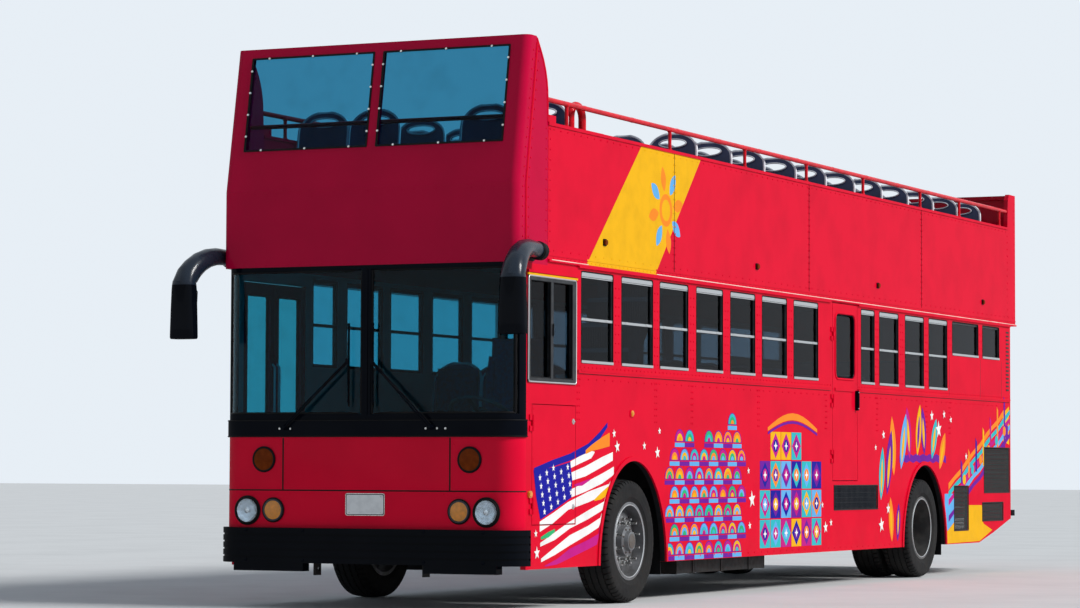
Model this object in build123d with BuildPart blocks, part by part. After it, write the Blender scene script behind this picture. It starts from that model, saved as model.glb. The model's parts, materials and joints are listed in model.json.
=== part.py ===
from build123d import *
import os

# Open top double decker bus. Millimetres, +Z up, the front faces -Y, +X is the vehicle's left.
# "s" is a station: the distance back from the flat front face of the lower body.

os.makedirs("parts", exist_ok=True)

# Driving sizes
HALF_W = 1220.0          # half the body's width
WALL = 45.0              # whole thickness of the lower walls
INNER = HALF_W - WALL    # inner face of the lower walls
UP_WALL = 42.0           # whole thickness of the upper side panels
UP_STEP = 2.0            # how far the upper sides stand out of the lower walls
UP_OUT = HALF_W + UP_STEP
NOSE_R = 165.0           # radius of the lower front corners in plan
UP_NOSE_R = 55.0         # outer radius of the upper front corners in plan
REAR_R = 150.0           # radius of the rear corners in plan
REAR_S = 12060.0         # rear face of the lower body
UP_REAR_S = 12110.0      # rear face of the upper deck
GAP = 6.0                # clearance round every leaf and hatch
PIN_GAP = 0.4            # running clearance at pins

SKIRT_Z = 303.0
FLOOR_Z = 930.0
SILL_Z = 1820.0
BAR_Z = 2150.0
WIN_TOP_Z = 2510.0
DRIP_Z = 2544.0
FASCIA_Z = 2516.0        # bottom edge of the upper front
DECK_Z = 2800.0
DECK_T = 60.0
SIDE_TOP_Z = 3569.0
KINK_Z = 3088.0
TOP_Z = 4178.0
TOP_S = 190.0
WING_S = 520.0
BULK_TOP_Z = 3920.0

TYRE_R = 475.0
TYRE_W = 275.0
BEAD_R = 286.0
AXLE_Z = TYRE_R
FRONT_AXLE_S = 2092.0
REAR_AXLE_S = 9120.0
WHEEL_X = 1067.0         # centre of the front tyres and of the outer rear tyres
TWIN_X = 747.0           # centre of the inner rear tyres
KING_X = 880.0           # kingpins

BUMPER_OUT = 42.0        # how far the bumper stands out of the nose
MIRROR_S = -345.0        # centre of the mirror heads
MIRROR_DEPTH = 190.0
REAR_BUMPER_S = 12170.0

FRONT_MOST = MIRROR_S - MIRROR_DEPTH / 2
FACE_Y = -(FRONT_MOST + REAR_BUMPER_S) / 2


def at(s):
    """Y of a station."""
    return FACE_Y + s


def block(x0, x1, s0, s1, z0, z1, mode=Mode.ADD):
    """A box given by its six faces."""
    with Locations(((x0 + x1) / 2, at((s0 + s1) / 2), (z0 + z1) / 2)):
        Box(abs(x1 - x0), abs(s1 - s0), abs(z1 - z0), mode=mode)


def window_rect(s0, s1, z0, z1, mode=Mode.ADD):
    """A rectangle in a side sketch."""
    with Locations((at((s0 + s1) / 2), (z0 + z1) / 2)):
        Rectangle(s1 - s0, z1 - z0, mode=mode)


def side_poly(points, mode=Mode.ADD):
    """A polygon of stations and heights in a side sketch."""
    Polygon(*[(at(s), z) for s, z in points], align=None, mode=mode)


def nose_band(z0, z1, inset, depth, s_end, radius=NOSE_R, mode=Mode.ADD):
    """A band that follows the rounded nose, from its outline less inset, back to s_end."""
    mid = s_end + 100
    with BuildSketch(Plane.XY.offset(z0)) as sk:
        with Locations((0, at(mid))):
            RectangleRounded(2 * (HALF_W - inset), 2 * (mid - inset), radius - inset)
            RectangleRounded(2 * (HALF_W - inset - depth), 2 * (mid - inset - depth),
                             NOSE_R - inset - depth, mode=Mode.SUBTRACT)
        with Locations((0, at(s_end + 1000))):
            Rectangle(4 * HALF_W, 2000, mode=Mode.SUBTRACT)
    extrude(sk.sketch, amount=z1 - z0, mode=mode)


def turned(points, s, z, sign, mode=Mode.ADD):
    """A ring turned about the crosswise axis at (s, z) from a profile of (|x|, radius)."""
    with BuildSketch(Plane(origin=(0, at(s), z), x_dir=(1, 0, 0), z_dir=(0, 0, 1))) as sk:
        Polygon(*[(sign * x, r) for x, r in points], align=None)
    revolve(sk.sketch, axis=Axis((0, at(s), z), (1, 0, 0)), revolution_arc=360, mode=mode)


def rod(p0, p1, r, mode=Mode.ADD):
    """A round bar between two points given as (x, s, z)."""
    a = Vector(p0[0], at(p0[1]), p0[2])
    b = Vector(p1[0], at(p1[1]), p1[2])
    with BuildSketch(Plane(origin=a, z_dir=(b - a).normalized())) as sk:
        Circle(r)
    extrude(sk.sketch, amount=(b - a).length, mode=mode)


KNUCKLE_R = 9.0
PIN_OFF = 10.0           # hinge lines stand this far out of the skin


def knuckles(side, s_pin, toward, z_mid, leaf):
    """One upright hinge: the leaf has the middle knuckle and the wall has the outer two."""
    x = side * (HALF_W + PIN_OFF)
    spans = [(z_mid - 60, z_mid - 20), (z_mid + 20, z_mid + 60)]
    if leaf:
        spans = [(z_mid - 20 + PIN_GAP, z_mid + 20 - PIN_GAP)]
    reach = toward if leaf else -toward
    for low, high in spans:
        rod((x, s_pin, low), (x, s_pin, high), KNUCKLE_R)
        block(side * HALF_W, x, min(s_pin + reach, s_pin + 48 * reach), max(s_pin + reach, s_pin + 48 * reach),
              low, high)


# Windows
# stations of each opening, front edge and rear edge
SPLIT_LEFT = [
    (1111, 1706), (1856, 2472), (2603, 3190), (3355, 3932), (4093, 4658), (4813, 5406),
    (5568, 6181), (7305, 7679), (7807, 8357), (8546, 9108), (9254, 9833),
]
SPLIT_RIGHT = [
    (1300, 1706), (1856, 2472), (2603, 3190), (3355, 3932), (4093, 4658), (4813, 5406),
    (5568, 6181), (6330, 6900), (7050, 7679), (7807, 8357), (8546, 9108), (9254, 9833),
]
SHORT = [(9985, 10840), (10970, 11546)]
SHORT_Z = 2172.0
DRIVER = (178, 1010, 1655, 2430)      # front, rear, bottom, top
DOOR = (6545, 7210, 930, 2536)        # emergency doorway
DOOR_WIN = (6617, 7137, 1850, 2446)
HATCH = (261, 1021, 620, 1500)
ENTRY = (240, 1190, 330, 2440)
DOOR_HINGES = [1150, 1650, 2250]
ENTRY_HINGES = [600, 1400, 2200]
HATCH_HINGES = [760, 1360]
GRILLE = (6585, 7752, 675, 888)
MESHES = [(11019, 11880, 808, 1262), (10038, 10488, 437, 872), (10956, 11656, 522, 702)]
ARCH_HALF = 637.0
ARCH_H_FRONT = 790.0
ARCH_H_REAR = 778.0
SASH = 24.0


def wall_outline():
    """The side wall with its sloping tail."""
    side_poly([(NOSE_R, SKIRT_Z), (10850, SKIRT_Z), (11340, 400), (REAR_S - REAR_R, 530),
               (REAR_S - REAR_R, DRIP_Z), (WING_S, DRIP_Z), (WING_S, FASCIA_Z), (NOSE_R, FASCIA_Z)])


def wall_cuts(splits):
    """Arches, windows and grilles of one side."""
    for s_mid, high in ((FRONT_AXLE_S, ARCH_H_FRONT), (REAR_AXLE_S, ARCH_H_REAR)):
        with Locations((at(s_mid), SKIRT_Z)):
            Ellipse(ARCH_HALF, high, mode=Mode.SUBTRACT)
    for s0, s1 in splits:
        window_rect(s0, s1, SILL_Z, WIN_TOP_Z, Mode.SUBTRACT)
    for s0, s1 in SHORT:
        window_rect(s0, s1, SHORT_Z, WIN_TOP_Z, Mode.SUBTRACT)
    for s0, s1, z0, z1 in MESHES:
        window_rect(s0, s1, z0, z1, Mode.SUBTRACT)


def arch_lips(sign):
    """The rolled lips round the wheel arches."""
    lip, out = 34.0, 12.0
    start = HALF_W if sign > 0 else -HALF_W - out
    with BuildSketch(Plane.YZ.offset(start)) as sk:
        for s_mid, high in ((FRONT_AXLE_S, ARCH_H_FRONT), (REAR_AXLE_S, ARCH_H_REAR)):
            with Locations((at(s_mid), SKIRT_Z)):
                Ellipse(ARCH_HALF + lip, high + lip)
        for s_mid, high in ((FRONT_AXLE_S, ARCH_H_FRONT), (REAR_AXLE_S, ARCH_H_REAR)):
            with Locations((at(s_mid), SKIRT_Z)):
                Ellipse(ARCH_HALF, high, mode=Mode.SUBTRACT)
        window_rect(0, REAR_S, -2000, SKIRT_Z, Mode.SUBTRACT)
    extrude(sk.sketch, amount=out)


# Chassis frame
RAIL_IN, RAIL_OUT = 430.0, 510.0
RAIL_Z0, RAIL_Z1 = 640.0, 880.0
RAIL_S0, RAIL_S1 = 200.0, 11850.0
RAIL_WEB = 18.0
END_T = 60.0             # thickness of the members across the rails' ends
with BuildPart() as chassis_frame:
    for side in (1, -1):
        block(side * RAIL_IN, side * RAIL_OUT, RAIL_S0, RAIL_S1, RAIL_Z0, RAIL_Z1)
        block(side * RAIL_IN, side * (RAIL_OUT - RAIL_WEB), RAIL_S0 - 1, RAIL_S1 + 1, RAIL_Z0 + RAIL_WEB,
              RAIL_Z1 - RAIL_WEB, mode=Mode.SUBTRACT)
chassis_frame.part.label = "chassis_frame"
export_step(chassis_frame.part, "parts/chassis_frame.step")

CROSS = [700, 1500, 2500, 3500, 4500, 5500, 6500, 7500, 8350, 9700]
CROSS_W = 80.0
CROSS_Z0 = 680.0
ARM_Z0 = 790.0           # underside of the arms that carry the side walls
with BuildPart() as chassis_crossmembers:
    for s in CROSS:
        block(-RAIL_OUT + RAIL_WEB, RAIL_OUT - RAIL_WEB, s, s + CROSS_W, CROSS_Z0, RAIL_Z1 - RAIL_WEB)
        for side in (1, -1):
            in_arch = min(abs(s - FRONT_AXLE_S), abs(s - REAR_AXLE_S)) < ARCH_HALF + CROSS_W
            if in_arch or (side < 0 and s < ENTRY[1]):
                continue
            block(side * RAIL_OUT, side * INNER, s, s + CROSS_W, ARM_Z0, RAIL_Z1)
    block(-RAIL_OUT, RAIL_OUT, RAIL_S0 - END_T, RAIL_S0, RAIL_Z0, RAIL_Z1)
    block(-RAIL_OUT, RAIL_OUT, RAIL_S1, RAIL_S1 + END_T, RAIL_Z0, RAIL_Z1)
chassis_crossmembers.part.label = "chassis_crossmembers"
export_step(chassis_crossmembers.part, "parts/chassis_crossmembers.step")

EYE_X0, EYE_X1 = 440.0, 462.0
EYE_S, EYE_Z, EYE_R = 115.0, 290.0, 22.0
EYE_BACK = 140.0         # rear edge of the eye plates, on the front end member
with BuildPart() as tow_eyes:
    for side in (1, -1):
        block(side * EYE_X0, side * EYE_X1, EYE_S - 55, EYE_BACK, EYE_Z - 50, RAIL_Z0 + 60)
        rod((side * (EYE_X0 - 10), EYE_S, EYE_Z), (side * (EYE_X1 + 10), EYE_S, EYE_Z), EYE_R, Mode.SUBTRACT)
tow_eyes.part.label = "tow_eyes"
export_step(tow_eyes.part, "parts/tow_eyes.step")

# Front axle and knuckles
BOSS_R, BOSS_H = 50.0, 120.0
PIN_R = 22.0
SPRING_X = 470.0
with BuildPart() as front_axle:
    with BuildSketch(Plane.XZ.offset(-at(FRONT_AXLE_S) - 55)) as sk:
        Polygon((-KING_X + 20, AXLE_Z - 45), (-KING_X + 20, AXLE_Z + 45), (-800, AXLE_Z + 45),
                (-640, AXLE_Z - 35), (640, AXLE_Z - 35), (800, AXLE_Z + 45), (KING_X - 20, AXLE_Z + 45),
                (KING_X - 20, AXLE_Z - 45), (780, AXLE_Z - 45), (620, AXLE_Z - 145), (-620, AXLE_Z - 145),
                (-780, AXLE_Z - 45), align=None)
    extrude(sk.sketch, amount=110)
    for side in (1, -1):
        with Locations((side * KING_X, at(FRONT_AXLE_S), AXLE_Z)):
            Cylinder(BOSS_R, BOSS_H)
            Cylinder(PIN_R + PIN_GAP, BOSS_H + 10, mode=Mode.SUBTRACT)
        with Locations((side * SPRING_X, at(FRONT_AXLE_S), (AXLE_Z - 35 + RAIL_Z0) / 2)):
            Cylinder(105, RAIL_Z0 - AXLE_Z + 35)
front_axle.part.label = "front_axle"
export_step(front_axle.part, "parts/front_axle.step")


def knuckle(side):
    """One steering knuckle: two lugs, kingpin, web, backing plate and stub axle."""
    for low in (AXLE_Z + BOSS_H / 2 + 1, AXLE_Z - BOSS_H / 2 - 1 - 44):
        with Locations((side * KING_X, at(FRONT_AXLE_S), low + 22)):
            Cylinder(BOSS_R, 44)
        block(side * KING_X, side * (KING_X + 92), FRONT_AXLE_S - 50, FRONT_AXLE_S + 50, low, low + 44)
    with Locations((side * KING_X, at(FRONT_AXLE_S), AXLE_Z)):
        Cylinder(PIN_R, BOSS_H + 80)
    block(side * (KING_X + 62), side * (KING_X + 92), FRONT_AXLE_S - 50, FRONT_AXLE_S + 50,
          AXLE_Z - BOSS_H / 2 - 45, AXLE_Z + BOSS_H / 2 + 45)
    turned([(KING_X + 84, 0), (KING_X + 84, 185), (KING_X + 96, 185), (KING_X + 96, 35),
            (KING_X + 221, 35), (KING_X + 221, 0)], FRONT_AXLE_S, AXLE_Z, side)


with BuildPart() as knuckle_left:
    knuckle(1)
knuckle_left.part.label = "knuckle_left"
export_step(knuckle_left.part, "parts/knuckle_left.step")

with BuildPart() as knuckle_right:
    knuckle(-1)
knuckle_right.part.label = "knuckle_right"
export_step(knuckle_right.part, "parts/knuckle_right.step")


# Tyres and rims
def tyre(x_mid, s, side):
    """A tyre with crowned tread and bulged walls; its beads sit on the rim."""
    half = TYRE_W / 2
    turned([(x_mid - half + 25, BEAD_R), (x_mid - half + 25, BEAD_R + 16), (x_mid - half, BEAD_R + 80),
            (x_mid - half + 4, TYRE_R - 40), (x_mid - half + 24, TYRE_R - 9), (x_mid, TYRE_R),
            (x_mid + half - 24, TYRE_R - 9), (x_mid + half - 4, TYRE_R - 40), (x_mid + half, BEAD_R + 80),
            (x_mid + half - 25, BEAD_R + 16), (x_mid + half - 25, BEAD_R)], s, AXLE_Z, side)


def barrel(x_mid):
    """Profile of a rim's barrel with its two flanges."""
    half = TYRE_W / 2 - 25
    return [(x_mid - half - 10, BEAD_R + 16), (x_mid - half, BEAD_R + 16), (x_mid - half, BEAD_R),
            (x_mid + half, BEAD_R), (x_mid + half, BEAD_R + 16), (x_mid + half + 10, BEAD_R + 16),
            (x_mid + half + 10, BEAD_R - 12), (x_mid - half - 10, BEAD_R - 12)]


with BuildPart() as front_tyre_left:
    tyre(WHEEL_X, FRONT_AXLE_S, 1)
front_tyre_left.part.label = "front_tyre_left"
export_step(front_tyre_left.part, "parts/front_tyre_left.step")

with BuildPart() as front_tyre_right:
    tyre(WHEEL_X, FRONT_AXLE_S, -1)
front_tyre_right.part.label = "front_tyre_right"
export_step(front_tyre_right.part, "parts/front_tyre_right.step")


def front_rim(side):
    """Front rim: the disc lies near its outer edge and the hub stands out of it."""
    disc = WHEEL_X + 45
    turned(barrel(WHEEL_X), FRONT_AXLE_S, AXLE_Z, side)
    turned([(disc - 30, BEAD_R - 2), (disc - 16, BEAD_R - 2), (disc + 14, 190), (disc + 14, 120),
            (disc + 60, 112), (disc + 66, 80), (disc + 96, 72), (disc + 104, 0), (disc - 5, 0), (disc - 5, 36),
            (KING_X + 106, 36), (KING_X + 106, 205), (disc - 20, 205), (disc, 190)],
           FRONT_AXLE_S, AXLE_Z, side)
    with BuildSketch(Plane(origin=(side * (disc - 60), at(FRONT_AXLE_S), AXLE_Z), z_dir=(side, 0, 0))) as sk:
        with PolarLocations(236, 8):
            Circle(24)
    extrude(sk.sketch, amount=120, mode=Mode.SUBTRACT)


with BuildPart() as front_rim_left:
    front_rim(1)
front_rim_left.part.label = "front_rim_left"
export_step(front_rim_left.part, "parts/front_rim_left.step")

with BuildPart() as front_rim_right:
    front_rim(-1)
front_rim_right.part.label = "front_rim_right"
export_step(front_rim_right.part, "parts/front_rim_right.step")

# rear axle: tube, differential, springs and shaft
TUBE_R = 68.0
ENGINE_S = 10250.0       # front face of the engine, where the shaft meets it
with BuildPart() as rear_axle:
    turned([(-880, 0), (-880, TUBE_R), (-300, TUBE_R), (-240, 110), (-190, 205), (190, 205), (240, 110),
            (300, TUBE_R), (880, TUBE_R), (880, 0)], REAR_AXLE_S, AXLE_Z, 1)
    for side in (1, -1):
        with Locations((side * SPRING_X, at(REAR_AXLE_S), (AXLE_Z + RAIL_Z0) / 2)):
            Cylinder(110, RAIL_Z0 - AXLE_Z)
    rod((0, REAR_AXLE_S + 150, AXLE_Z), (0, REAR_AXLE_S + 330, AXLE_Z), 90)
    rod((0, REAR_AXLE_S + 300, AXLE_Z), (0, ENGINE_S, AXLE_Z), 45)
rear_axle.part.label = "rear_axle"
export_step(rear_axle.part, "parts/rear_axle.step")

with BuildPart() as rear_tyres_left:
    tyre(WHEEL_X, REAR_AXLE_S, 1)
    tyre(TWIN_X, REAR_AXLE_S, 1)
rear_tyres_left.part.label = "rear_tyres_left"
export_step(rear_tyres_left.part, "parts/rear_tyres_left.step")

with BuildPart() as rear_tyres_right:
    tyre(WHEEL_X, REAR_AXLE_S, -1)
    tyre(TWIN_X, REAR_AXLE_S, -1)
rear_tyres_right.part.label = "rear_tyres_right"
export_step(rear_tyres_right.part, "parts/rear_tyres_right.step")


def rear_rims(side):
    """A pair of dished rims back to back on one hub."""
    mid = (WHEEL_X + TWIN_X) / 2
    half = TYRE_W / 2 - 15
    turned(barrel(WHEEL_X), REAR_AXLE_S, AXLE_Z, side)
    turned(barrel(TWIN_X), REAR_AXLE_S, AXLE_Z, side)
    turned([(WHEEL_X - half + 14, BEAD_R - 6), (WHEEL_X - half, BEAD_R - 12), (mid + 3, 215), (mid - 3, 215),
            (TWIN_X + half, BEAD_R - 12), (TWIN_X + half - 14, BEAD_R - 6), (mid - 18, 200), (mid - 18, 190),
            (TWIN_X - 60, 190), (TWIN_X - 60, TUBE_R + 1), (mid - 4, TUBE_R + 1), (mid - 4, 0),
            (mid + 150, 0), (mid + 146, 84), (mid + 60, 112), (mid + 18, 118), (mid + 18, 200)],
           REAR_AXLE_S, AXLE_Z, side)
    with BuildSketch(Plane(origin=(side * (mid - 60), at(REAR_AXLE_S), AXLE_Z), z_dir=(side, 0, 0))) as sk:
        with PolarLocations(243, 8):
            Circle(22)
    extrude(sk.sketch, amount=120, mode=Mode.SUBTRACT)


with BuildPart() as rear_rims_left:
    rear_rims(1)
rear_rims_left.part.label = "rear_rims_left"
export_step(rear_rims_left.part, "parts/rear_rims_left.step")

with BuildPart() as rear_rims_right:
    rear_rims(-1)
rear_rims_right.part.label = "rear_rims_right"
export_step(rear_rims_right.part, "parts/rear_rims_right.step")

# Lower floor
BOX_IN = 560.0
BOX_T = 20.0
BOX_TOP = 1120.0
BOX_HALF = ARCH_HALF + 10
STEP_IN = 700.0
BAY_S = 10050.0
BAY_Z = 1420.0
BAY_T = 40.0
WELL_T = 20.0            # thickness of the entry steps' sheet
STEPS_Z = (350.0, 620.0) # undersides of the two entry treads
WELL = (ENTRY[0] + 10, ENTRY[1] - 10)
with BuildPart() as lower_floor:
    block(-INNER, INNER, NOSE_R, BAY_S, RAIL_Z1, FLOOR_Z)
    for s_mid in (FRONT_AXLE_S, REAR_AXLE_S):
        for side in (1, -1):
            block(side * BOX_IN, side * (INNER + 1), s_mid - BOX_HALF - BOX_T, s_mid + BOX_HALF + BOX_T,
                  RAIL_Z1 - 1, FLOOR_Z + 1, mode=Mode.SUBTRACT)
    block(-INNER - 1, -STEP_IN, WELL[0] - WELL_T, WELL[1] + WELL_T, RAIL_Z1 - 1, FLOOR_Z + 1, mode=Mode.SUBTRACT)
lower_floor.part.label = "lower_floor"
export_step(lower_floor.part, "parts/lower_floor.step")

with BuildPart() as floor_boxes:
    for s_mid in (FRONT_AXLE_S, REAR_AXLE_S):
        for side in (1, -1):
            block(side * BOX_IN, side * INNER, s_mid - BOX_HALF - BOX_T, s_mid + BOX_HALF + BOX_T,
                  RAIL_Z1, BOX_TOP)
            block(side * (BOX_IN + BOX_T), side * (INNER + 1), s_mid - BOX_HALF, s_mid + BOX_HALF,
                  RAIL_Z1 - 1, BOX_TOP - BOX_T, mode=Mode.SUBTRACT)
    block(-INNER, -STEP_IN, WELL[0] - WELL_T, WELL[1] + WELL_T, STEPS_Z[0], FLOOR_Z)
    block(-INNER - 1, -STEP_IN - WELL_T, WELL[0], WELL[1], STEPS_Z[1] + WELL_T, FLOOR_Z + 1, mode=Mode.SUBTRACT)
    block(-INNER - 1, -STEP_IN - 240 - WELL_T, WELL[0], WELL[1], STEPS_Z[0] + WELL_T, FLOOR_Z + 1,
          mode=Mode.SUBTRACT)
    block(-STEP_IN - 240, -STEP_IN + 1, WELL[0] - WELL_T - 1, WELL[1] + WELL_T + 1, STEPS_Z[0] - 1, STEPS_Z[1],
          mode=Mode.SUBTRACT)
    block(-INNER, INNER, BAY_S, BAY_S + 30, RAIL_Z1, BAY_Z)
    block(-INNER, INNER, BAY_S, REAR_S - REAR_R, BAY_Z - BAY_T, BAY_Z)
    block(-INNER + REAR_R - WALL, INNER - REAR_R + WALL, REAR_S - REAR_R, REAR_S - WALL, BAY_Z - BAY_T, BAY_Z)
floor_boxes.part.label = "floor_boxes"
export_step(floor_boxes.part, "parts/floor_boxes.step")

# Lower body
COWL_Z0, COWL_Z1 = 1256.0, 1384.0
SHIELD_Z0, SHIELD_Z1 = 1424.0, 2486.0
PANEL_Z0 = 430.0
with BuildPart() as front_panel:
    nose_band(PANEL_Z0, COWL_Z0, 0, WALL, NOSE_R)
    for x0, x1 in ((-693, -689), (689, 693)):
        block(x0, x1, -5, 6, 880, COWL_Z0 + 1, mode=Mode.SUBTRACT)
    block(-HALF_W - 5, HALF_W + 5, -5, 5, 862, 868, mode=Mode.SUBTRACT)
front_panel.part.label = "front_panel"
export_step(front_panel.part, "parts/front_panel.step")

POST_S = 92.0
with BuildPart() as windshield_frame:
    nose_band(COWL_Z1, FASCIA_Z, 0, WALL, NOSE_R)
    nose_band(COWL_Z0, COWL_Z1, -12, WALL + 12, NOSE_R)
    for side in (1, -1):
        block(side * 37, side * (HALF_W + 80), -60, POST_S, SHIELD_Z0, SHIELD_Z1, mode=Mode.SUBTRACT)
windshield_frame.part.label = "windshield_frame"
export_step(windshield_frame.part, "parts/windshield_frame.step")

with BuildPart() as windshield_glass:
    nose_band(SHIELD_Z0, SHIELD_Z1, 14, 8, NOSE_R)
    block(-HALF_W, HALF_W, POST_S, NOSE_R + 1, SHIELD_Z0 - 1, SHIELD_Z1 + 1, mode=Mode.SUBTRACT)
    block(-37, 37, -10, 60, SHIELD_Z0 - 1, SHIELD_Z1 + 1, mode=Mode.SUBTRACT)
windshield_glass.part.label = "windshield_glass"
export_step(windshield_glass.part, "parts/windshield_glass.step")

RUB_Z = 1742.0
with BuildPart() as side_wall_left:
    with BuildSketch(Plane.YZ.offset(INNER)) as sk:
        wall_outline()
        wall_cuts(SPLIT_LEFT)
        window_rect(*DRIVER, Mode.SUBTRACT)
        window_rect(*DOOR, Mode.SUBTRACT)
        window_rect(*GRILLE, Mode.SUBTRACT)
    extrude(sk.sketch, amount=WALL)
    block(INNER + 15, HALF_W + 1, *HATCH, mode=Mode.SUBTRACT)
    arch_lips(1)
    for s0, s1 in ((1050, DOOR[0] - 60), (DOOR[1] + 8, REAR_S - 160)):
        block(HALF_W, HALF_W + 10, s0, s1, RUB_Z, RUB_Z + 26)
        block(HALF_W, HALF_W + 16, s0, s1, DRIP_Z - 16, DRIP_Z)
    block(HALF_W, HALF_W + 18, DRIVER[0] - 10, DRIVER[1] + 20, DRIVER[3] + 20, DRIVER[3] + 40)
    for z in DOOR_HINGES:
        knuckles(1, DOOR[0], 1, z, False)
    for z in HATCH_HINGES:
        knuckles(1, HATCH[0], 1, z, False)
side_wall_left.part.label = "side_wall_left"
export_step(side_wall_left.part, "parts/side_wall_left.step")

with BuildPart() as side_wall_right:
    with BuildSketch(Plane.YZ.offset(-HALF_W)) as sk:
        wall_outline()
        wall_cuts(SPLIT_RIGHT)
        window_rect(*ENTRY, Mode.SUBTRACT)
    extrude(sk.sketch, amount=WALL)
    arch_lips(-1)
    block(-HALF_W - 10, -HALF_W, ENTRY[1] + 60, REAR_S - 160, RUB_Z, RUB_Z + 26)
    block(-HALF_W - 16, -HALF_W, ENTRY[1] + 30, REAR_S - 160, DRIP_Z - 16, DRIP_Z)
    for z in ENTRY_HINGES:
        knuckles(-1, ENTRY[0], 1, z, False)
        knuckles(-1, ENTRY[1], -1, z, False)
side_wall_right.part.label = "side_wall_right"
export_step(side_wall_right.part, "parts/side_wall_right.step")

ENGINE_DOOR = (-780, 780, 640, 1480)      # x from, x to, z from, z to


def top_knuckles(x_mid, leaf):
    """One level hinge of the engine door, its pin outside the rear face at the door's top edge."""
    s_pin, z = REAR_S + PIN_OFF, ENGINE_DOOR[3]
    spans = [(x_mid - 60, x_mid - 20), (x_mid + 20, x_mid + 60)]
    if leaf:
        spans = [(x_mid - 20 + PIN_GAP, x_mid + 20 - PIN_GAP)]
    for x0, x1 in spans:
        rod((x0, s_pin, z), (x1, s_pin, z), KNUCKLE_R)
        if leaf:
            block(x0, x1, REAR_S, s_pin, z - 48, z - 1)
        else:
            block(x0, x1, REAR_S, s_pin, z + 1, z + 48)


REAR_VENT = (-700, 700, 1860, 2360)
with BuildPart() as rear_wall:
    with BuildSketch(Plane.XY.offset(530)) as sk:
        with Locations((0, at(REAR_S - REAR_R - 100))):
            RectangleRounded(2 * HALF_W, 2 * (REAR_R + 100), REAR_R)
            RectangleRounded(2 * INNER, 2 * (REAR_R + 100 - WALL), REAR_R - WALL, mode=Mode.SUBTRACT)
        with Locations((0, at(REAR_S - REAR_R - 500))):
            Rectangle(4 * HALF_W, 1000, mode=Mode.SUBTRACT)
    extrude(sk.sketch, amount=DRIP_Z - 530)
    block(ENGINE_DOOR[0], ENGINE_DOOR[1], REAR_S - 80, REAR_S + 5, ENGINE_DOOR[2], ENGINE_DOOR[3],
          mode=Mode.SUBTRACT)
    block(REAR_VENT[0], REAR_VENT[1], REAR_S - 25, REAR_S + 5, REAR_VENT[2], REAR_VENT[3],
          mode=Mode.SUBTRACT)
    for k in range(9):
        z = REAR_VENT[2] + 28 + k * 54
        block(REAR_VENT[0], REAR_VENT[1], REAR_S - 26, REAR_S - 4, z, z + 20)
    for x in (-560, 560):
        top_knuckles(x, False)
rear_wall.part.label = "rear_wall"
export_step(rear_wall.part, "parts/rear_wall.step")

# sashes and glass of the lower windows, and the driver's sliding window
SASH_T = 30.0
SASH_X = HALF_W - 8 - SASH_T


def panes(s0, s1, z0, z1, split):
    """Clear openings of one sash: two when a mid bar splits it."""
    if split:
        return [(s0 + SASH, s1 - SASH, z0 + SASH, BAR_Z - 12), (s0 + SASH, s1 - SASH, BAR_Z + 12, z1 - SASH)]
    return [(s0 + SASH, s1 - SASH, z0 + SASH, z1 - SASH)]


def all_windows(side):
    """Every opening of one side as (front, rear, bottom, top, split)."""
    splits = SPLIT_LEFT if side > 0 else SPLIT_RIGHT
    rows = [(s0, s1, SILL_Z, WIN_TOP_Z, True) for s0, s1 in splits]
    rows += [(s0, s1, SHORT_Z, WIN_TOP_Z, False) for s0, s1 in SHORT]
    return rows


with BuildPart() as window_sashes:
    for side in (1, -1):
        start = SASH_X if side > 0 else -SASH_X - SASH_T
        with BuildSketch(Plane.YZ.offset(start)) as sk:
            for s0, s1, z0, z1, split in all_windows(side):
                window_rect(s0, s1, z0, z1)
                for pane in panes(s0, s1, z0, z1, split):
                    window_rect(*pane, Mode.SUBTRACT)
        extrude(sk.sketch, amount=SASH_T)
    with BuildSketch(Plane.YZ.offset(INNER + 5)) as sk:
        window_rect(*DRIVER)
        window_rect(DRIVER[0] + 34, 560, DRIVER[2] + 34, DRIVER[3] - 34, Mode.SUBTRACT)
        window_rect(600, DRIVER[1] - 70, DRIVER[2] + 34, DRIVER[3] - 34, Mode.SUBTRACT)
    extrude(sk.sketch, amount=WALL + 7)
window_sashes.part.label = "window_sashes"
export_step(window_sashes.part, "parts/window_sashes.step")

with BuildPart() as window_glass:
    for side in (1, -1):
        start = SASH_X + 12 if side > 0 else -SASH_X - 18
        with BuildSketch(Plane.YZ.offset(start)) as sk:
            for s0, s1, z0, z1, split in all_windows(side):
                for pane in panes(s0, s1, z0, z1, split):
                    window_rect(*pane)
        extrude(sk.sketch, amount=6)
    with BuildSketch(Plane.YZ.offset(INNER + 20)) as sk:
        window_rect(DRIVER[0] + 34, 560, DRIVER[2] + 34, DRIVER[3] - 34)
        window_rect(600, DRIVER[1] - 70, DRIVER[2] + 34, DRIVER[3] - 34)
    extrude(sk.sketch, amount=6)
window_glass.part.label = "window_glass"
export_step(window_glass.part, "parts/window_glass.step")

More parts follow.
